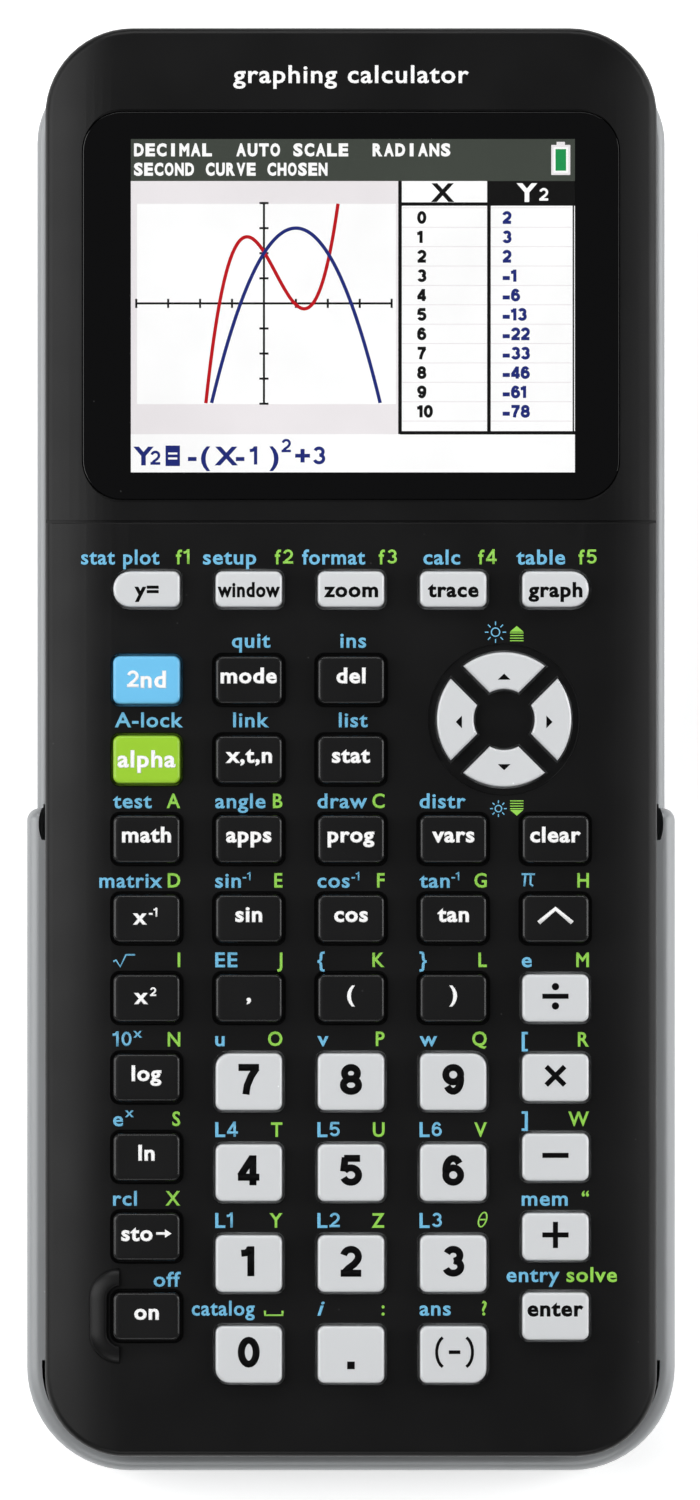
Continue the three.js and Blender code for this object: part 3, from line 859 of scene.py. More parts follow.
WHITE_KEYS = (
    "y_equals window zoom trace graph divide multiply minus plus enter 0 1 2 3 4 5 6 7 8 9 point negative"
).split()
SIGN_KEYS = ("divide", "multiply", "minus", "plus", "power", "point", "negative")
WORDS = {  # where the word on a key isn't its own name
    "y_equals": "y=", "second": "2nd", "delete": "del", "variable": "x,t,n", "statistics": "stat",
    "maths": "math", "applications": "apps", "program": "prog", "variables": "vars", "sine": "sin",
    "cosine": "cos", "tangent": "tan", "comma": ",", "open_bracket": "(", "close_bracket": ")",
}
POWERS = {"reciprocal": ("x", "-1"), "square": ("x", "2")}
KEY_COLOURS = {"second": (KEY_BLUE, "key_blue"), "alpha": (KEY_GREEN, "key_green")}


def dot_stroke(y, ink):
    dot = drum("dot", (0, y), 0.48, -INK_THICK / 2, INK_THICK / 2, 20)
    paint(dot, ink)
    return dot


def key_sign(name, x, y, z, ink):
    """The operator signs, which are drawn from plain bars and dots."""
    half, thin, rise = 1.72, 0.33, 0.25
    strokes = []
    if name in ("minus", "plus", "multiply", "divide"):
        strokes.append(bar(-half, half, -thin, thin, 0, ink))
    if name in ("plus", "multiply"):
        strokes += [bar(-thin, thin, -half, -thin, 0, ink), bar(-thin, thin, thin, half, 0, ink)]
    if name == "multiply":
        for stroke in strokes:
            stroke.data.transform(turned(math.pi / 4))
    elif name == "divide":
        strokes += [dot_stroke(-1.27, ink), dot_stroke(1.27, ink)]
    elif name == "power":
        strokes = [ribbon([(-2.2, -0.8), (0, 1.05), (2.2, -0.8)], 0.56, 0, ink)]
    elif name == "negative":
        brackets = [arc(side * 0.97, 0, side * 1.39, 2.13, 65, -65) for side in (-1, 1)]
        strokes = [ribbon(bracket, 0.4, 0, ink) for bracket in brackets]
        strokes.append(bar(-0.75, 0.75, -0.24, 0.24, 0, ink))
        x += 0.18
        rise = 0.33
    elif name == "point":
        strokes = [bar(-0.5, 0.5, -0.5, 0.5, 0, ink)]
        rise = -1.4
    sign = join(strokes, "sign")
    sign.data.transform(moved(x, y + rise, z))
    return sign


def store_legend(x, y, z, looks):
    """The word on the store key, with its arrow."""
    ink, level = looks["material"], y - 0.1
    shaft = ribbon([(x + 1.27, level), (x + 2.8, level)], 0.34, z, ink)
    head = tip(x + 2.85, level, z + CROSSING_STEP, 0.55, 0.85, 3, ink)
    word = lettering("sto", 2.05, x - 3.32, y, z, "LEFT", most=4.2, **looks)
    return join([word, shaft, head], "store")


def key_legend(name, x, y, z, height):
    ink = INK_BLACK if name in WHITE_KEYS else INK_WHITE
    if name in POWERS:
        words, power = POWERS[name]
        return raised(words, power, 2.1, x - 0.2, y + 0.35, z, weight=0.037, material=ink)
    if name in SIGN_KEYS:
        return key_sign(name, x, y, z, ink)
    words = WORDS.get(name, name)
    if words in FIGURE_STROKES:
        return figure(words, FIGURE_HEIGHT, x, y + 0.33, z, ink, 0.92)
    looks = {"weight": KEY_WEIGHT, "material": ink, "stretch": LETTER_WIDTH}
    if name == "store":
        return store_legend(x, y + 0.53, z, looks)
    cap, rise = (2.05, 0.65) if height > 5.5 else (1.95, 0)
    if name in KEY_COLOURS:
        cap, rise = 2.25, 0.15
    elif name == "enter":
        rise = 1.1
    return lettering(words, cap, x, y + rise, z, most=8.2, **looks)


def settle_key(name, slot, cap, legend):
    node = "key_" + name
    settle(join([cap, legend], node + "_cap"), slot, node, body=node)


def pressed_keys():
    """Every key but the arrows, one cap for each size and set of corners."""
    caps = {}
    for name in KEYS:
        low, high = key_box(name)
        size = (round(high.x - low.x, 2), round(high.y - low.y, 2), low.z + STEM_LENGTH, high.z)
        kind = size, key_corners(name)
        if kind not in caps:
            caps[kind] = key_cap(*kind)
        x, y = (low.x + high.x) / 2, (low.y + high.y) / 2
        key = copy_to(caps[kind], "key", (x, y, 0))
        plain = (KEY_WHITE, "key_white") if name in WHITE_KEYS else (KEY_BLACK, "key_black")
        colour, slot = KEY_COLOURS.get(name, plain)
        paint(key, colour)
        legend = key_legend(name, x, y, high.z + 0.04, size[1])
        settle_key(name, slot, key, legend)
    for cap in caps.values():
        discard(cap)


def arrow_keys():
    low, high = key_box("up")
    master = arrow_cap(low.z + STEM_LENGTH, high.z)
    for name, turn in ARROWS.items():
        key = copy_to(master, "key", PAD_CENTRE, turn * QUARTER_TURN)
        paint(key, KEY_WHITE)
        reach = turned(turn * QUARTER_TURN) @ Vector((0, 5.95, 0)) + PAD_CENTRE
        mark = tip(reach.x, reach.y - 0.32, high.z + 0.01, 0.83, 0.8, turn, INK_BLACK)
        settle_key(name, "key_white", key, mark)
    discard(master)


# ---- legends printed on the shell
ABOVE = {  # the words above each key, on the left and on the right
    "y_equals": ("stat plot", "f1"), "window": ("setup", "f2"), "zoom": ("format", "f3"),
    "trace": ("calc", "f4"), "graph": ("table", "f5"), "mode": ("quit", ""),
    "delete": ("ins", ""), "alpha": ("A-lock", ""), "variable": ("link", ""),
    "statistics": ("list", ""), "maths": ("test", "A"), "applications": ("angle", "B"),
    "program": ("draw", "C"), "variables": ("distr", ""), "reciprocal": ("matrix", "D"),
    "sine": (("sin", "-1"), "E"), "cosine": (("cos", "-1"), "F"),
    "tangent": (("tan", "-1"), "G"), "power": ("π", "H"), "square": ("", "I"),
    "comma": ("EE", "J"), "open_bracket": ("{", "K"), "close_bracket": ("}", "L"),
    "divide": ("e", "M"), "log": (("10", "x"), "N"), "7": ("u", "O"), "8": ("v", "P"),
    "9": ("w", "Q"), "multiply": ("[", "R"), "ln": (("e", "x"), "S"), "4": ("L4", "T"),
    "5": ("L5", "U"), "6": ("L6", "V"), "minus": ("]", "W"), "store": ("rcl", "X"),
    "1": ("L1", "Y"), "2": ("L2", "Z"), "3": ("L3", ""), "plus": ("mem", "“"),
    "on": ("", ""), "0": ("catalog", "_"), "point": ("i", ":"), "negative": ("ans", "?"),
    "enter": ("entry", "solve"),
}
SHIFTS = {  # how far the words over a key start and end past its sides
    "y_equals": (-4.2, 1.2), "window": (-1.6, 1.4), "zoom": (-2.0, 1.6), "trace": (0.5, 1.3),
    "graph": (-0.7, 1.0), "reciprocal": (-1.8, 0), "0": (-3.1, 0), "enter": (-2.0, 3.7),
}
BOTTOM_ROW = ("0", "point", "negative", "enter")
CENTRED = ("mode", "delete", "alpha", "variable", "statistics")
BLUE_LOOKS = {"weight": PRINT_WEIGHT, "material": INK_BLUE, "stretch": LETTER_WIDTH}
GREEN_LOOKS = {"weight": PRINT_WEIGHT, "material": INK_GREEN, "stretch": 0.92}
BLUE_CAP = 2.0
GREEN_CAP = 1.95
PI_STROKES = (
    [(0, 0.75), (1.75, 0.75)], [(0.5, 0.7), (0.35, -0.85)], [(1.2, 0.7), (1.15, -0.55), (1.5, -0.85)],
)
ROOT_STROKE = [(0.1, 1.55), (0.45, 1.75), (1.0, 0.85), (1.75, 2.45), (2.95, 2.45)]
SPACE_STROKE = [(-2.3, -0.4), (-2.3, -1), (0, -1), (0, -0.4)]
THETA_STROKES = ([*arc(0, 0, 0.5, 0.95, 0, 360)], [(-0.45, 0), (0.45, 0)])


def shifted(points, x, y):
    return [(x + px, y + py) for px, py in points]


def blue_legend(name, words, middle, start, y):
    """The blue words over the left of a key, or over its middle."""
    if name in CENTRED:
        return [lettering(words, BLUE_CAP, middle + 0.3, y + 0.2, PRINT_Z, **BLUE_LOOKS)]
    if isinstance(words, tuple):
        return [raised(*words, BLUE_CAP, start, y, PRINT_Z, "LEFT", **BLUE_LOOKS)]
    if words == "π":
        return crossing([shifted(points, start, y) for points in PI_STROKES], 0.27, PRINT_Z, INK_BLUE)
    if not words:
        return []
    fit = {"most": 10.3 if name == "y_equals" else 8.3, "slant": 0.3 if words == "i" else 0.0}
    return [lettering(words, BLUE_CAP, start, y, PRINT_Z, "LEFT", **fit, **BLUE_LOOKS)]


def green_legend(word, end, y):
    """The green sign over the right of a key."""
    if word == "_":
        return [ribbon(shifted(SPACE_STROKE, end, y), 0.3, PRINT_Z, INK_GREEN)]
    if word == "solve":
        looks = {**BLUE_LOOKS, "material": INK_GREEN}
        return [lettering(word, BLUE_CAP, end, y, PRINT_Z, "RIGHT", **looks)]
    if word:
        return [lettering(word, GREEN_CAP, end, y, PRINT_Z, "RIGHT", **GREEN_LOOKS)]
    return []


def slanted_theta(x, y):
    theta = join(crossing(THETA_STROKES, 0.2, 0, INK_GREEN), "theta")
    slant = Matrix(((1, 0.25, 0, 0), (0, 1, 0, 0), (0, 0, 1, 0), (0, 0, 0, 1)))
    theta.data.transform(moved(x, y, PRINT_Z) @ slant)
    return theta


def printed_legends():
    blue, green = [], []
    for name, (left, right) in ABOVE.items():
        low, high = key_box(name)
        y = high.y + (2.27 if name in BOTTOM_ROW else 1.85)
        start_shift, end_shift = SHIFTS.get(name, (0, 0))
        start, end = low.x + 0.05 + start_shift, high.x - 0.05 + end_shift
        blue += blue_legend(name, left, (low.x + high.x) / 2, start, y)
        green += green_legend(right, end, y)
    low, high = key_box("square")
    blue.append(ribbon(shifted(ROOT_STROKE, low.x, high.y), 0.24, PRINT_Z, INK_BLUE))
    low, high = key_box("3")
    green.append(slanted_theta(high.x - 0.6, high.y + 1.9))
    low, high = key_box("on")
    blue.append(lettering("off", BLUE_CAP, high.x, high.y + 1.65, PRINT_Z, "RIGHT", **BLUE_LOOKS))
    blue.extend(brightness_mark(PAD_CENTRE.x - 1.12, PAD_CENTRE.y + 11.48, 1))
    blue.extend(brightness_mark(PAD_CENTRE.x - 0.74, PAD_CENTRE.y - 11.72, 0.78))
    green.extend(page_mark(PAD_CENTRE.x + 1.67, PAD_CENTRE.y + 11.34, 1))
    green.extend(page_mark(PAD_CENTRE.x + 1.67, PAD_CENTRE.y - 11.68, -1))
    settle(join(blue, "blue_legends"), "front_black")
    settle(join(green, "green_legends"), "front_black")
    looks = {"weight": TITLE_WEIGHT, "material": INK_WHITE, "stretch": 1.1}
    title = lettering("graphing calculator", 2.4, 0, SHELL_HIGH.y - 6.0, PRINT_Z, **looks)
    title.name = "title_legend"
    settle(title, "front_black")


def brightness_mark(x, y, size):
    """A small sun, for the screen's brightness."""
    rays = [ribbon(arc(x, y, 0.55 * size, 0.55 * size, 0, 360), 0.15, PRINT_Z, INK_BLUE)]
    for ray in range(8):
        made = bar(0.92 * size, 1.4 * size, -0.07, 0.07, PRINT_Z, INK_BLUE)
        made.data.transform(moved(x, y, 0) @ turned(ray * math.pi / 4))
        rays.append(made)
    return rays


def page_mark(x, y, up):
    """A triangle over a stack of lines, for paging up, or under one, for paging down."""
    half, line_half, pitch = 0.88, 0.065, 0.34
    mark = [tip(x, y + up * 0.58, PRINT_Z, half, 0.75, 0 if up > 0 else 2, INK_GREEN)]
    for line in range(4):
        level = y + up * (0.04 - line * pitch)
        mark.append(bar(x - half, x + half, level - line_half, level + line_half, PRINT_Z, INK_GREEN))
    return mark


# ---- window and lit picture
PLOT_CENTRE = (17.5, 21.6)
PLOT_UNIT = (4.2, 3.3)
PLOT_REACH = 4.02
LINE_HALF = 0.14
TICK_HALF = 0.6
RULE_HALF = 0.24
BAND_BOTTOM = 5.5
TABLE_LEFT = 35.4
TABLE_SPLIT = 47.1
TABLE_BOTTOM = 38.8
ROW_PITCH = 2.55
TYPED_CAP = 1.6
EDIT_CAP = 2.4
EDIT_Y = 41.6
EDIT_SIGNS = (
    (7.5, "-"), (9.2, "("), (11.0, "X"), (13.8, "-"), (15.7, "1"), (18.2, ")"), (21.6, "+"), (23.9, "3"),
)
OVERLAP = 0.6


def display_window():
    """One glossy plate: clear over the picture, with a black printed border."""
    lens = slab("display_window_looks", LENS_LOW, LENS_HIGH, 5.2, 12)
    round_rim(lens, LENS_HIGH.z, 0.12, 2)
    low, high = SCREEN_CENTRE - SCREEN_SIZE / 2, SCREEN_CENTRE + SCREEN_SIZE / 2
    edit(lens)
    for facing in ((1, 0, 0), (0, 1, 0)):
        for place in (low, high):
            slice_through(place * MM, facing)
    stop_editing()
    soften(lens)
    paint(lens, LENS_BLACK, LENS_CLEAR)
    for face in lens.data.polygons:
        middle = face.center / MM - SCREEN_CENTRE
        inside = abs(middle.x) < SCREEN_SIZE.x / 2 and abs(middle.y) < SCREEN_SIZE.y / 2
        if inside and abs(face.normal.z) > 0.9:
            face.material_index = 1
    settle(lens, "screen_lens", "display_window")


LEFT, TOP = SCREEN_CENTRE.x - SCREEN_SIZE.x / 2, SCREEN_CENTRE.y + SCREEN_SIZE.y / 2
WIDTH, HEIGHT = SCREEN_SIZE.x, SCREEN_SIZE.y


# On the screen, places are measured to the right and down from its top left corner.
def area(x0, x1, y0, y1, material, layer=1):
    return bar(LEFT + x0, LEFT + x1, TOP - y1, TOP - y0, PICTURE_Z + 0.05 * layer, material)


def area_round(x, y, half_width, half_height, material, layer):
    return area(x - half_width, x + half_width, y - half_height, y + half_height, material, layer)


def screen_word(words, cap, x, y, material, align="LEFT", **looks):
    looks = {"stretch": 1.1, "material": material, "align": align, **looks}
    return lettering(words, cap, LEFT + x, TOP - y, PICTURE_Z + 0.2, **looks)


def typed(words, y, pitch):
    """A line of the status band, with one letter to every step."""
    looks = {"weight": 0.05, "most": pitch * 0.86, "stretch": 1.15}
    return [
        screen_word(letter, TYPED_CAP, 0.3 + (place + 0.5) * pitch, y, LIT_WHITE, "CENTER", **looks)
        for place, letter in enumerate(words) if letter != " "
    ]


def status_band():
    """The words and the battery mark over the plot."""
    return [
        area(-OVERLAP, WIDTH + OVERLAP, -OVERLAP, BAND_BOTTOM, LIT_HEADER),
        *typed("DECIMAL  AUTO SCALE  RADIANS", 1.35, 1.495),
        *typed("SECOND CURVE CHOSEN", 3.9, 1.35),
        area(55.3, 57.8, 0.75, 4.7, LIT_GREY, 2),
        area(56.0, 57.1, 0.35, 0.8, LIT_GREY, 2),
        area(55.6, 57.5, 1.05, 4.4, LIT_WHITE, 3),
        area(55.85, 57.25, 1.3, 4.15, LIT_GREEN, 4),
    ]


def curve_line(curve, height, material):
    """One graph, cut off where it leaves the plot."""
    points = [(x / 100, curve(x / 100)) for x in range(-400, 401)]
    left, top = LEFT + PLOT_CENTRE[0], TOP - PLOT_CENTRE[1]
    line = [(left + x * PLOT_UNIT[0], top + y * PLOT_UNIT[1]) for x, y in points if abs(y) <= PLOT_REACH]
    return ribbon(line, 0.46, PICTURE_Z + height, material)


def plot():
    """Two curves with their axes."""
    middle_x, middle_y = PLOT_CENTRE
    left, right, top, bottom = 0.8, 34.85, 8.5, 34.85
    parts = [
        area(-OVERLAP, TABLE_LEFT, BAND_BOTTOM, TABLE_BOTTOM, LIT_GREY),
        area(left, right, top, bottom, LIT_WHITE, 2),
        area(0.7, 34.4, middle_y - LINE_HALF, middle_y + LINE_HALF, LIT_BLACK, 3),
        area(middle_x - LINE_HALF, middle_x + LINE_HALF, top, bottom, LIT_BLACK, 3),
    ]
    for tick in (-4, -3, -2, -1, 1, 2, 3, 4):
        across = middle_x + tick * PLOT_UNIT[0]
        if 0.6 < across < 34.9:
            parts.append(area_round(across, middle_y, LINE_HALF, TICK_HALF, LIT_BLACK, 3))
        down = middle_y - tick * PLOT_UNIT[1]
        if 8.4 < down < 35:
            parts.append(area_round(middle_x, down, TICK_HALF, LINE_HALF, LIT_BLACK, 3))
    parts.append(curve_line(lambda x: x**3 - 1.1 * x**2 - 2 * x + 2.05, 0.22, LIT_RED))
    parts.append(curve_line(lambda x: 3 - (x - 1) ** 2, 0.225, LIT_BLUE))
    return parts


def table():
    """The two columns of values beside the plot."""
    right = WIDTH + OVERLAP
    parts = []
    for row in range(12):
        parts.append(area(35.6, WIDTH - 0.4, 8.97 + row * ROW_PITCH, 9.09 + row * ROW_PITCH, LIT_GREY))
    for line in (TABLE_LEFT, TABLE_SPLIT):
        parts.append(area(line - RULE_HALF, line + RULE_HALF, BAND_BOTTOM, TABLE_BOTTOM, LIT_BLACK, 2))
    parts += [
        area(WIDTH - 0.3, WIDTH - 0.1, BAND_BOTTOM, TABLE_BOTTOM, LIT_BLACK, 2),
        area(TABLE_LEFT, right, 8.3, 8.75, LIT_BLACK, 2),
        area(TABLE_SPLIT, right, BAND_BOTTOM, 8.5, LIT_BLACK, 2),
        area(TABLE_LEFT, right, 38.4, 38.85, LIT_BLACK, 2),
        screen_word("X", 2.4, 41.0, 6.95, LIT_BLACK, "CENTER"),
        screen_word("Y", 2.4, 52.1, 6.95, LIT_WHITE, "CENTER"),
        screen_word("2", 1.7, 54.3, 7.25, LIT_WHITE, "CENTER"),
    ]
    for row in range(11):
        down = 10.3 + row * ROW_PITCH
        parts.append(screen_word(str(row), TYPED_CAP, 37.7, down, LIT_BLACK, weight=0.075))
        parts.append(screen_word(str(3 - (row - 1) ** 2), TYPED_CAP, 48.9, down, LIT_BLUE, weight=0.075))
    return parts


def edit_line():
    """The formula of the second curve, under the plot."""
    parts = [
        screen_word("Y", EDIT_CAP, 0.3, EDIT_Y, LIT_BLUE),
        screen_word("2", 1.9, 2.55, 41.9, LIT_BLUE),
        area(4.55, 6.45, 40.3, 43.0, LIT_BLUE, 2),
    ]
    for down in (41.35, 42.0):
        parts.append(area(4.9, 6.1, down - 0.13, down + 0.13, LIT_WHITE, 3))
    for x, sign in EDIT_SIGNS:
        parts.append(screen_word(sign, EDIT_CAP, x, EDIT_Y, LIT_BLUE))
    parts.append(screen_word("2", 1.8, 19.8, 40.3, LIT_BLUE))
    return parts


def screen_picture():
    """The lit picture: a status band, two graphs, a table of values and an edit line."""
    ground = area(-OVERLAP, WIDTH + OVERLAP, -OVERLAP, HEIGHT + OVERLAP, LIT_WHITE, 0)
    picture = join([ground, *status_band(), *plot(), *table(), *edit_line()], "screen_picture")
    settle(picture, "screen_lens")


# ---- rear shell and battery cover
SCREW_PLACES = [(x, y) for y in (87, 0, -84) for x in (-34.5, 34.5)]
COVER_SCREWS = [(x, COVER_LOW.y + 1.9) for x in (-20, 20)]
FOOT_PLACES = [(x, y) for y in (78, -78) for x in (-28, 28)]
RESET_PLACE = (0, 38)
GROOVE_Z = 11.6
REAR_CORNERS = (11.25, 11.25, 10.35, 10.35)
SOCKET_X = 22
SOCKET_TOP = 11.9
HOLE_HALF = 4.15


def inset(low, high, margin):
    """The corners of a box that is smaller all round, or larger where the margin is negative."""
    return low + Vector((margin, margin, 0)), high - Vector((margin, margin, 0))


def room(name, corners, bottom, top, radii, segments=8):
    """A slab for cutting, as wide as a box and from one level to another."""
    low, high = corners
    return slab(name, (low.x, low.y, bottom), (high.x, high.y, top), radii, segments)


def rear_shell():
    low, high = REAR_LOW, REAR_HIGH
    shell = room("rear_shell_looks", (low, high), BACK_Z, high.z, REAR_CORNERS, 14)
    round_rim(shell, BACK_Z, 3.2, 6)
    combine(shell, room("room", inset(low, high, 2), BACK_Z + 1.6, high.z + 2, 9))
    ledge, bay = inset(COVER_LOW, COVER_HIGH, -0.9), inset(COVER_LOW, COVER_HIGH, 2.6)
    combine(shell, room("ledge", ledge, BACK_Z + 1.3, BACK_Z + 2.8, 3), "UNION")
    combine(shell, room("bay", bay, 0, high.z, 1))
    combine(shell, room("cover_room", inset(COVER_LOW, COVER_HIGH, -0.2), 0, BACK_Z + 1.6, 3.8))
    for side in (-1, 1):
        xs = sorted((side * (SHELL_HIGH.x - 1.15), side * 50))
        combine(shell, block("groove", (xs[0], low.y - 5, GROOVE_Z), (xs[1], -10.5, high.z + 1)))
    hole_low = (SOCKET_X - HOLE_HALF, high.y - 4, SOCKET_TOP - 4.5)
    combine(shell, block("socket_hole", hole_low, (SOCKET_X + HOLE_HALF, high.y + 4, SOCKET_TOP)))
    holes = [drum("hole", place, 2.0, 0, BACK_Z + 1.2, 32) for place in SCREW_PLACES]
    holes.append(drum("hole", RESET_PLACE, 1.6, 0, BACK_Z + 3, 32))
    combine(shell, join(holes, "holes"))
    coat_with(shell, REAR_BLACK)
    settle(shell, "rear_black", "rear_shell")


def rubber_feet():
    foot = drum("foot", (0, 0), 3, REAR_LOW.z, BACK_Z + 0.02, 40)
    round_rim(foot, REAR_LOW.z, 0.2, 2)
    coat_with(foot, FOOT_RUBBER)
    for number, (x, y) in enumerate(FOOT_PLACES, 1):
        settle(copy_to(foot, f"rubber_foot_{number}", (x, y, 0)), "grey_rubber")
    discard(foot)


def battery_cover():
    corners = COVER_LOW, COVER_HIGH
    cover = room("battery_cover_looks", corners, BACK_Z, BACK_Z + 1.55, 3.6)
    round_rim(cover, BACK_Z, 0.25, 3)
    holes = [drum("hole", place, 1.7, 0, BACK_Z + 0.8, 32) for place in COVER_SCREWS]
    combine(cover, join(holes, "holes"))
    coat_with(cover, REAR_BLACK)
    settle(cover, "rear_black", "battery_cover")


def screws():
    head = drum("screw", (0, 0), 1.55, BACK_Z + 0.35, BACK_Z + 1.1, 32)
    round_rim(head, BACK_Z + 0.35, 0.3, 3)
    long, thin, depth = 1.0, 0.17, BACK_Z + 0.8
    cross = block("cross", (-long, -thin, 0), (long, thin, depth))
    combine(cross, block("bar", (-thin, -long, 0), (thin, long, depth)), "UNION")
    combine(head, cross)
    coat_with(head, SCREW_STEEL)
    for number, (x, y) in enumerate(SCREW_PLACES + COVER_SCREWS, 1):
        drop = 0 if number <= len(SCREW_PLACES) else -0.3
        settle(copy_to(head, f"screw_{number}", (x, y, drop)), "display_metal")
    discard(head)


# ---- circuit board
BOARD_THICK = 1.4
BOARD_HALF_LENGTH = 88
CHIPS = [  # middle, size and height of each
    (-14, 12, 14, 14, 1.2), (12, 14, 10, 12, 1.0), (-16, 64, 9, 9, 1.0),
    (10, 60, 12, 7, 1.1), (-26, 84, 8, 5, 2.0), (0, -14, 12, 4, 2.2),
]
SOCKET_HALF = 3.85


def round_ends(piece, low, high, radius):
    """Bevels the four edges of a box that run along the object."""
    edit(piece)
    for x in (low.x, high.x):
        for z in (low.z, high.z):
            pick(piece, "edges", lambda p: near(p.x, x) and near(p.z, z))
            bevel(radius, 4)
    stop_editing()


def charging_socket(under, end_y):
    """The metal can and the tongue of the charging socket, which open at the display end."""
    low = Vector((SOCKET_X - SOCKET_HALF, end_y - 9.2, under - 3.9))
    high = Vector((SOCKET_X + SOCKET_HALF, end_y, under))
    can = block("socket", low, high)
    round_ends(can, low, high, 0.7)
    mouth_low, mouth_high = low + Vector((0.4, 1, 0.4)), high + Vector((-0.4, 1, -0.4))
    mouth = block("mouth", mouth_low, mouth_high)
    round_ends(mouth, mouth_low, mouth_high, 0.4)
    combine(can, mouth)
    coat_with(can, DISPLAY_METAL, 40)
    tongue_low = (SOCKET_X - 2.2, low.y + 0.5, low.z + 1.5)
    tongue = block("tongue", tongue_low, (SOCKET_X + 2.2, high.y - 1, low.z + 2.4))
    paint(tongue, REAR_BLACK)
    return [can, tongue]


def fitted(piece, level, radius, material):
    """A part on the board, with a rounded underside."""
    round_rim(piece, level, radius, 2)
    coat_with(piece, material)
    return piece


def main_board():
    """The circuit board with its chips, the reset switch and the charging socket."""
    low, high = BOARD_LOW, BOARD_HIGH
    under = high.z - BOARD_THICK
    board_low = (low.x, BODY_MIDDLE_Y - BOARD_HALF_LENGTH, under)
    board = slab("main_board_looks", board_low, (high.x, BODY_MIDDLE_Y + BOARD_HALF_LENGTH, high.z), 6, 6)
    combine(board, join([drum("hole", place, 2.7, 0, high.z + 5, 24) for place in SCREW_PLACES], "holes"))
    coat_with(board, BOARD_GREEN)
    parts = [board]
    for x, y, wide, long, tall in CHIPS:
        half_x, half_y, bottom = wide / 2, long / 2, under - tall
        chip = slab("chip", (x - half_x, y - half_y, bottom), (x + half_x, y + half_y, under), 0.4, 2)
        parts.append(fitted(chip, bottom, 0.2, REAR_BLACK))
    switch = drum("switch", RESET_PLACE, 2, under - 1.2, under, 24)
    parts.append(fitted(switch, under - 1.2, 0.25, DISPLAY_METAL))
    board = join([*parts, *charging_socket(under, high.y)], "main_board_looks")
    settle(board, "board_green", "main_board")


# ---- slide case
CASE_STEP_Y = -7.6
CASE_WALL = 2.0
CASE_PANEL = 1.6
CASE_CORNER = 13.7
STEP_CORNER = 1.65
UPPER_HALF = 41.55
UPPER_WALL = 1.25
UPPER_RIM_Z = 4.0


def slide_case():
    """The cover: high walls round the keys' end, and a low rim round the display's end."""
    step_y, top = CASE_STEP_Y, CASE_HIGH.z
    radii = (STEP_CORNER, STEP_CORNER, CASE_CORNER, CASE_CORNER)
    case = slab("slide_case_looks", CASE_LOW, (CASE_HIGH.x, step_y, top), radii, segments=14)
    round_rim(case, CASE_LOW.z, 1.5, 4)
    round_rim(case, top, 1.6, 8)
    upper_high = (UPPER_HALF, CASE_HIGH.y, UPPER_RIM_Z)
    upper = slab("upper", (-UPPER_HALF, -40, 0), upper_high, [10.5, 10.5, 2, 2], segments=14)
    round_rim(upper, 0, 1.5, 4)
    round_rim(upper, UPPER_RIM_Z, 1.1, 6)
    combine(case, upper, "UNION")

    low, high = inset(CASE_LOW, CASE_HIGH, CASE_WALL)
    inner = CASE_CORNER - CASE_WALL
    hollow_high = (high.x, step_y + 0.5, top + 2)
    hollow = slab("room", (low.x, low.y, CASE_PANEL), hollow_high, [0, 0, inner, inner], 14)
    for side in (-1, 1):
        notch = drum("notch", (side * 35.6, step_y - 2.1), 5.6, UPPER_RIM_Z + 0.3, top + 1, 96)
        combine(hollow, notch, "UNION")
        xs = sorted((side * (SHELL_HIGH.x - 0.85), side * (CASE_HIGH.x + 1)))
        combine(hollow, block("lip", (xs[0], -80.4, GROOVE_Z + 0.2), (xs[1], -11.8, top + 5)))
    combine(case, hollow)
    reach = UPPER_HALF - UPPER_WALL
    inside_high = (reach, CASE_HIGH.y - UPPER_WALL, GROOVE_Z)
    combine(case, slab("inside", (-reach, -40, CASE_PANEL), inside_high, [9.25, 9.25, 1, 1], 14))
    coat_with(case, CASE_SILVER)
    settle(case, "case_silver", "slide_case", body="slide_case")


# ---- the pieces that the frame already shapes well
def dress_frame_nodes():
    finishes = {
        "battery_pack": BATTERY_WRAP,
        "keypad_membrane": RUBBER,
        "display_module": DISPLAY_METAL,
        "reset_button": RUBBER,
    }
    for node, finish in finishes.items():
        paint(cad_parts[node], finish)


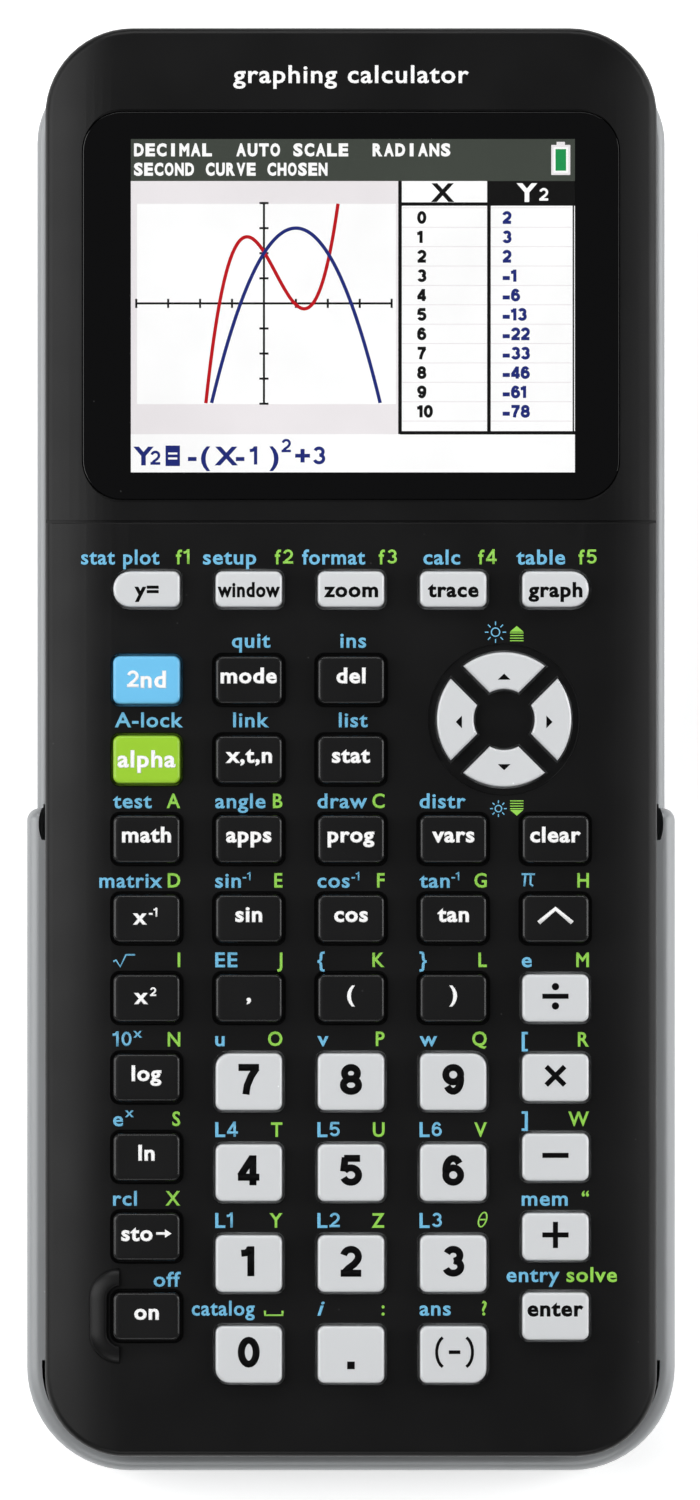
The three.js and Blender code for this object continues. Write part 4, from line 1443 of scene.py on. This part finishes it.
# ---- floor, light and camera
FLOOR_DROP = 0.02
FLOOR_GLOW = 0.4
WORLD_LIGHT = 0.1
SHOWN_HEIGHT = 197.2
CAMERA_LENS = 400


def floor():
    deselect_all()
    bpy.ops.mesh.primitive_plane_add(size=6, location=(0, 0, -FLOOR_DROP * MM))
    ground = named_primitive("floor")
    pale = moulded("floor_pale", (0.98, 0.98, 0.98), 0.8, color_shift=0.01, bump=0.0, patch=300)
    set_shader(pale, Emission_Strength=FLOOR_GLOW)
    paint(ground, pale)


def softbox(name, place, size, power):
    data = bpy.data.lights.new(name, "AREA")
    data.shape = "RECTANGLE"
    data.size, data.size_y = size
    data.energy = power
    lamp = bpy.data.objects.new(name, data)
    lamp.location = place
    lamp.rotation_euler = (-Vector(place)).to_track_quat("-Z", "Y").to_euler()
    lamp.visible_camera = False
    show(lamp)


def studio():
    softbox("left_softbox", (-0.62, 0.1, 0.55), (0.5, 0.9), 4.8)
    softbox("right_softbox", (0.72, 0.1, 0.34), (0.4, 0.9), 4.4)
    softbox("far_softbox", (0.0, 0.75, 0.6), (0.9, 0.3), 3.6)
    softbox("near_softbox", (0.0, -0.8, 0.6), (0.9, 0.3), 2.0)
    world = bpy.data.worlds.new("studio")
    world.use_nodes = True
    fill(world.node_tree.nodes["Background"], Color=(1, 1, 1, 1), Strength=WORLD_LIGHT)
    bpy.context.scene.world = world
    bpy.context.scene.view_settings.view_transform = "Standard"


def camera():
    """Straight down on the face through a long lens."""
    data = bpy.data.cameras.new("camera")
    data.lens = CAMERA_LENS
    data.clip_end = 100
    eye = bpy.data.objects.new("camera", data)
    distance = SHOWN_HEIGHT * data.lens / data.sensor_width
    eye.location = Vector((-0.13, 0.07, FACE_Z + distance)) * MM
    show(eye)
    bpy.context.scene.camera = eye


front_shell()
on_key_guard()
pressed_keys()
arrow_keys()
printed_legends()
display_window()
screen_picture()
rear_shell()
rubber_feet()
battery_cover()
screws()
main_board()
slide_case()
dress_frame_nodes()
floor()
studio()
camera()
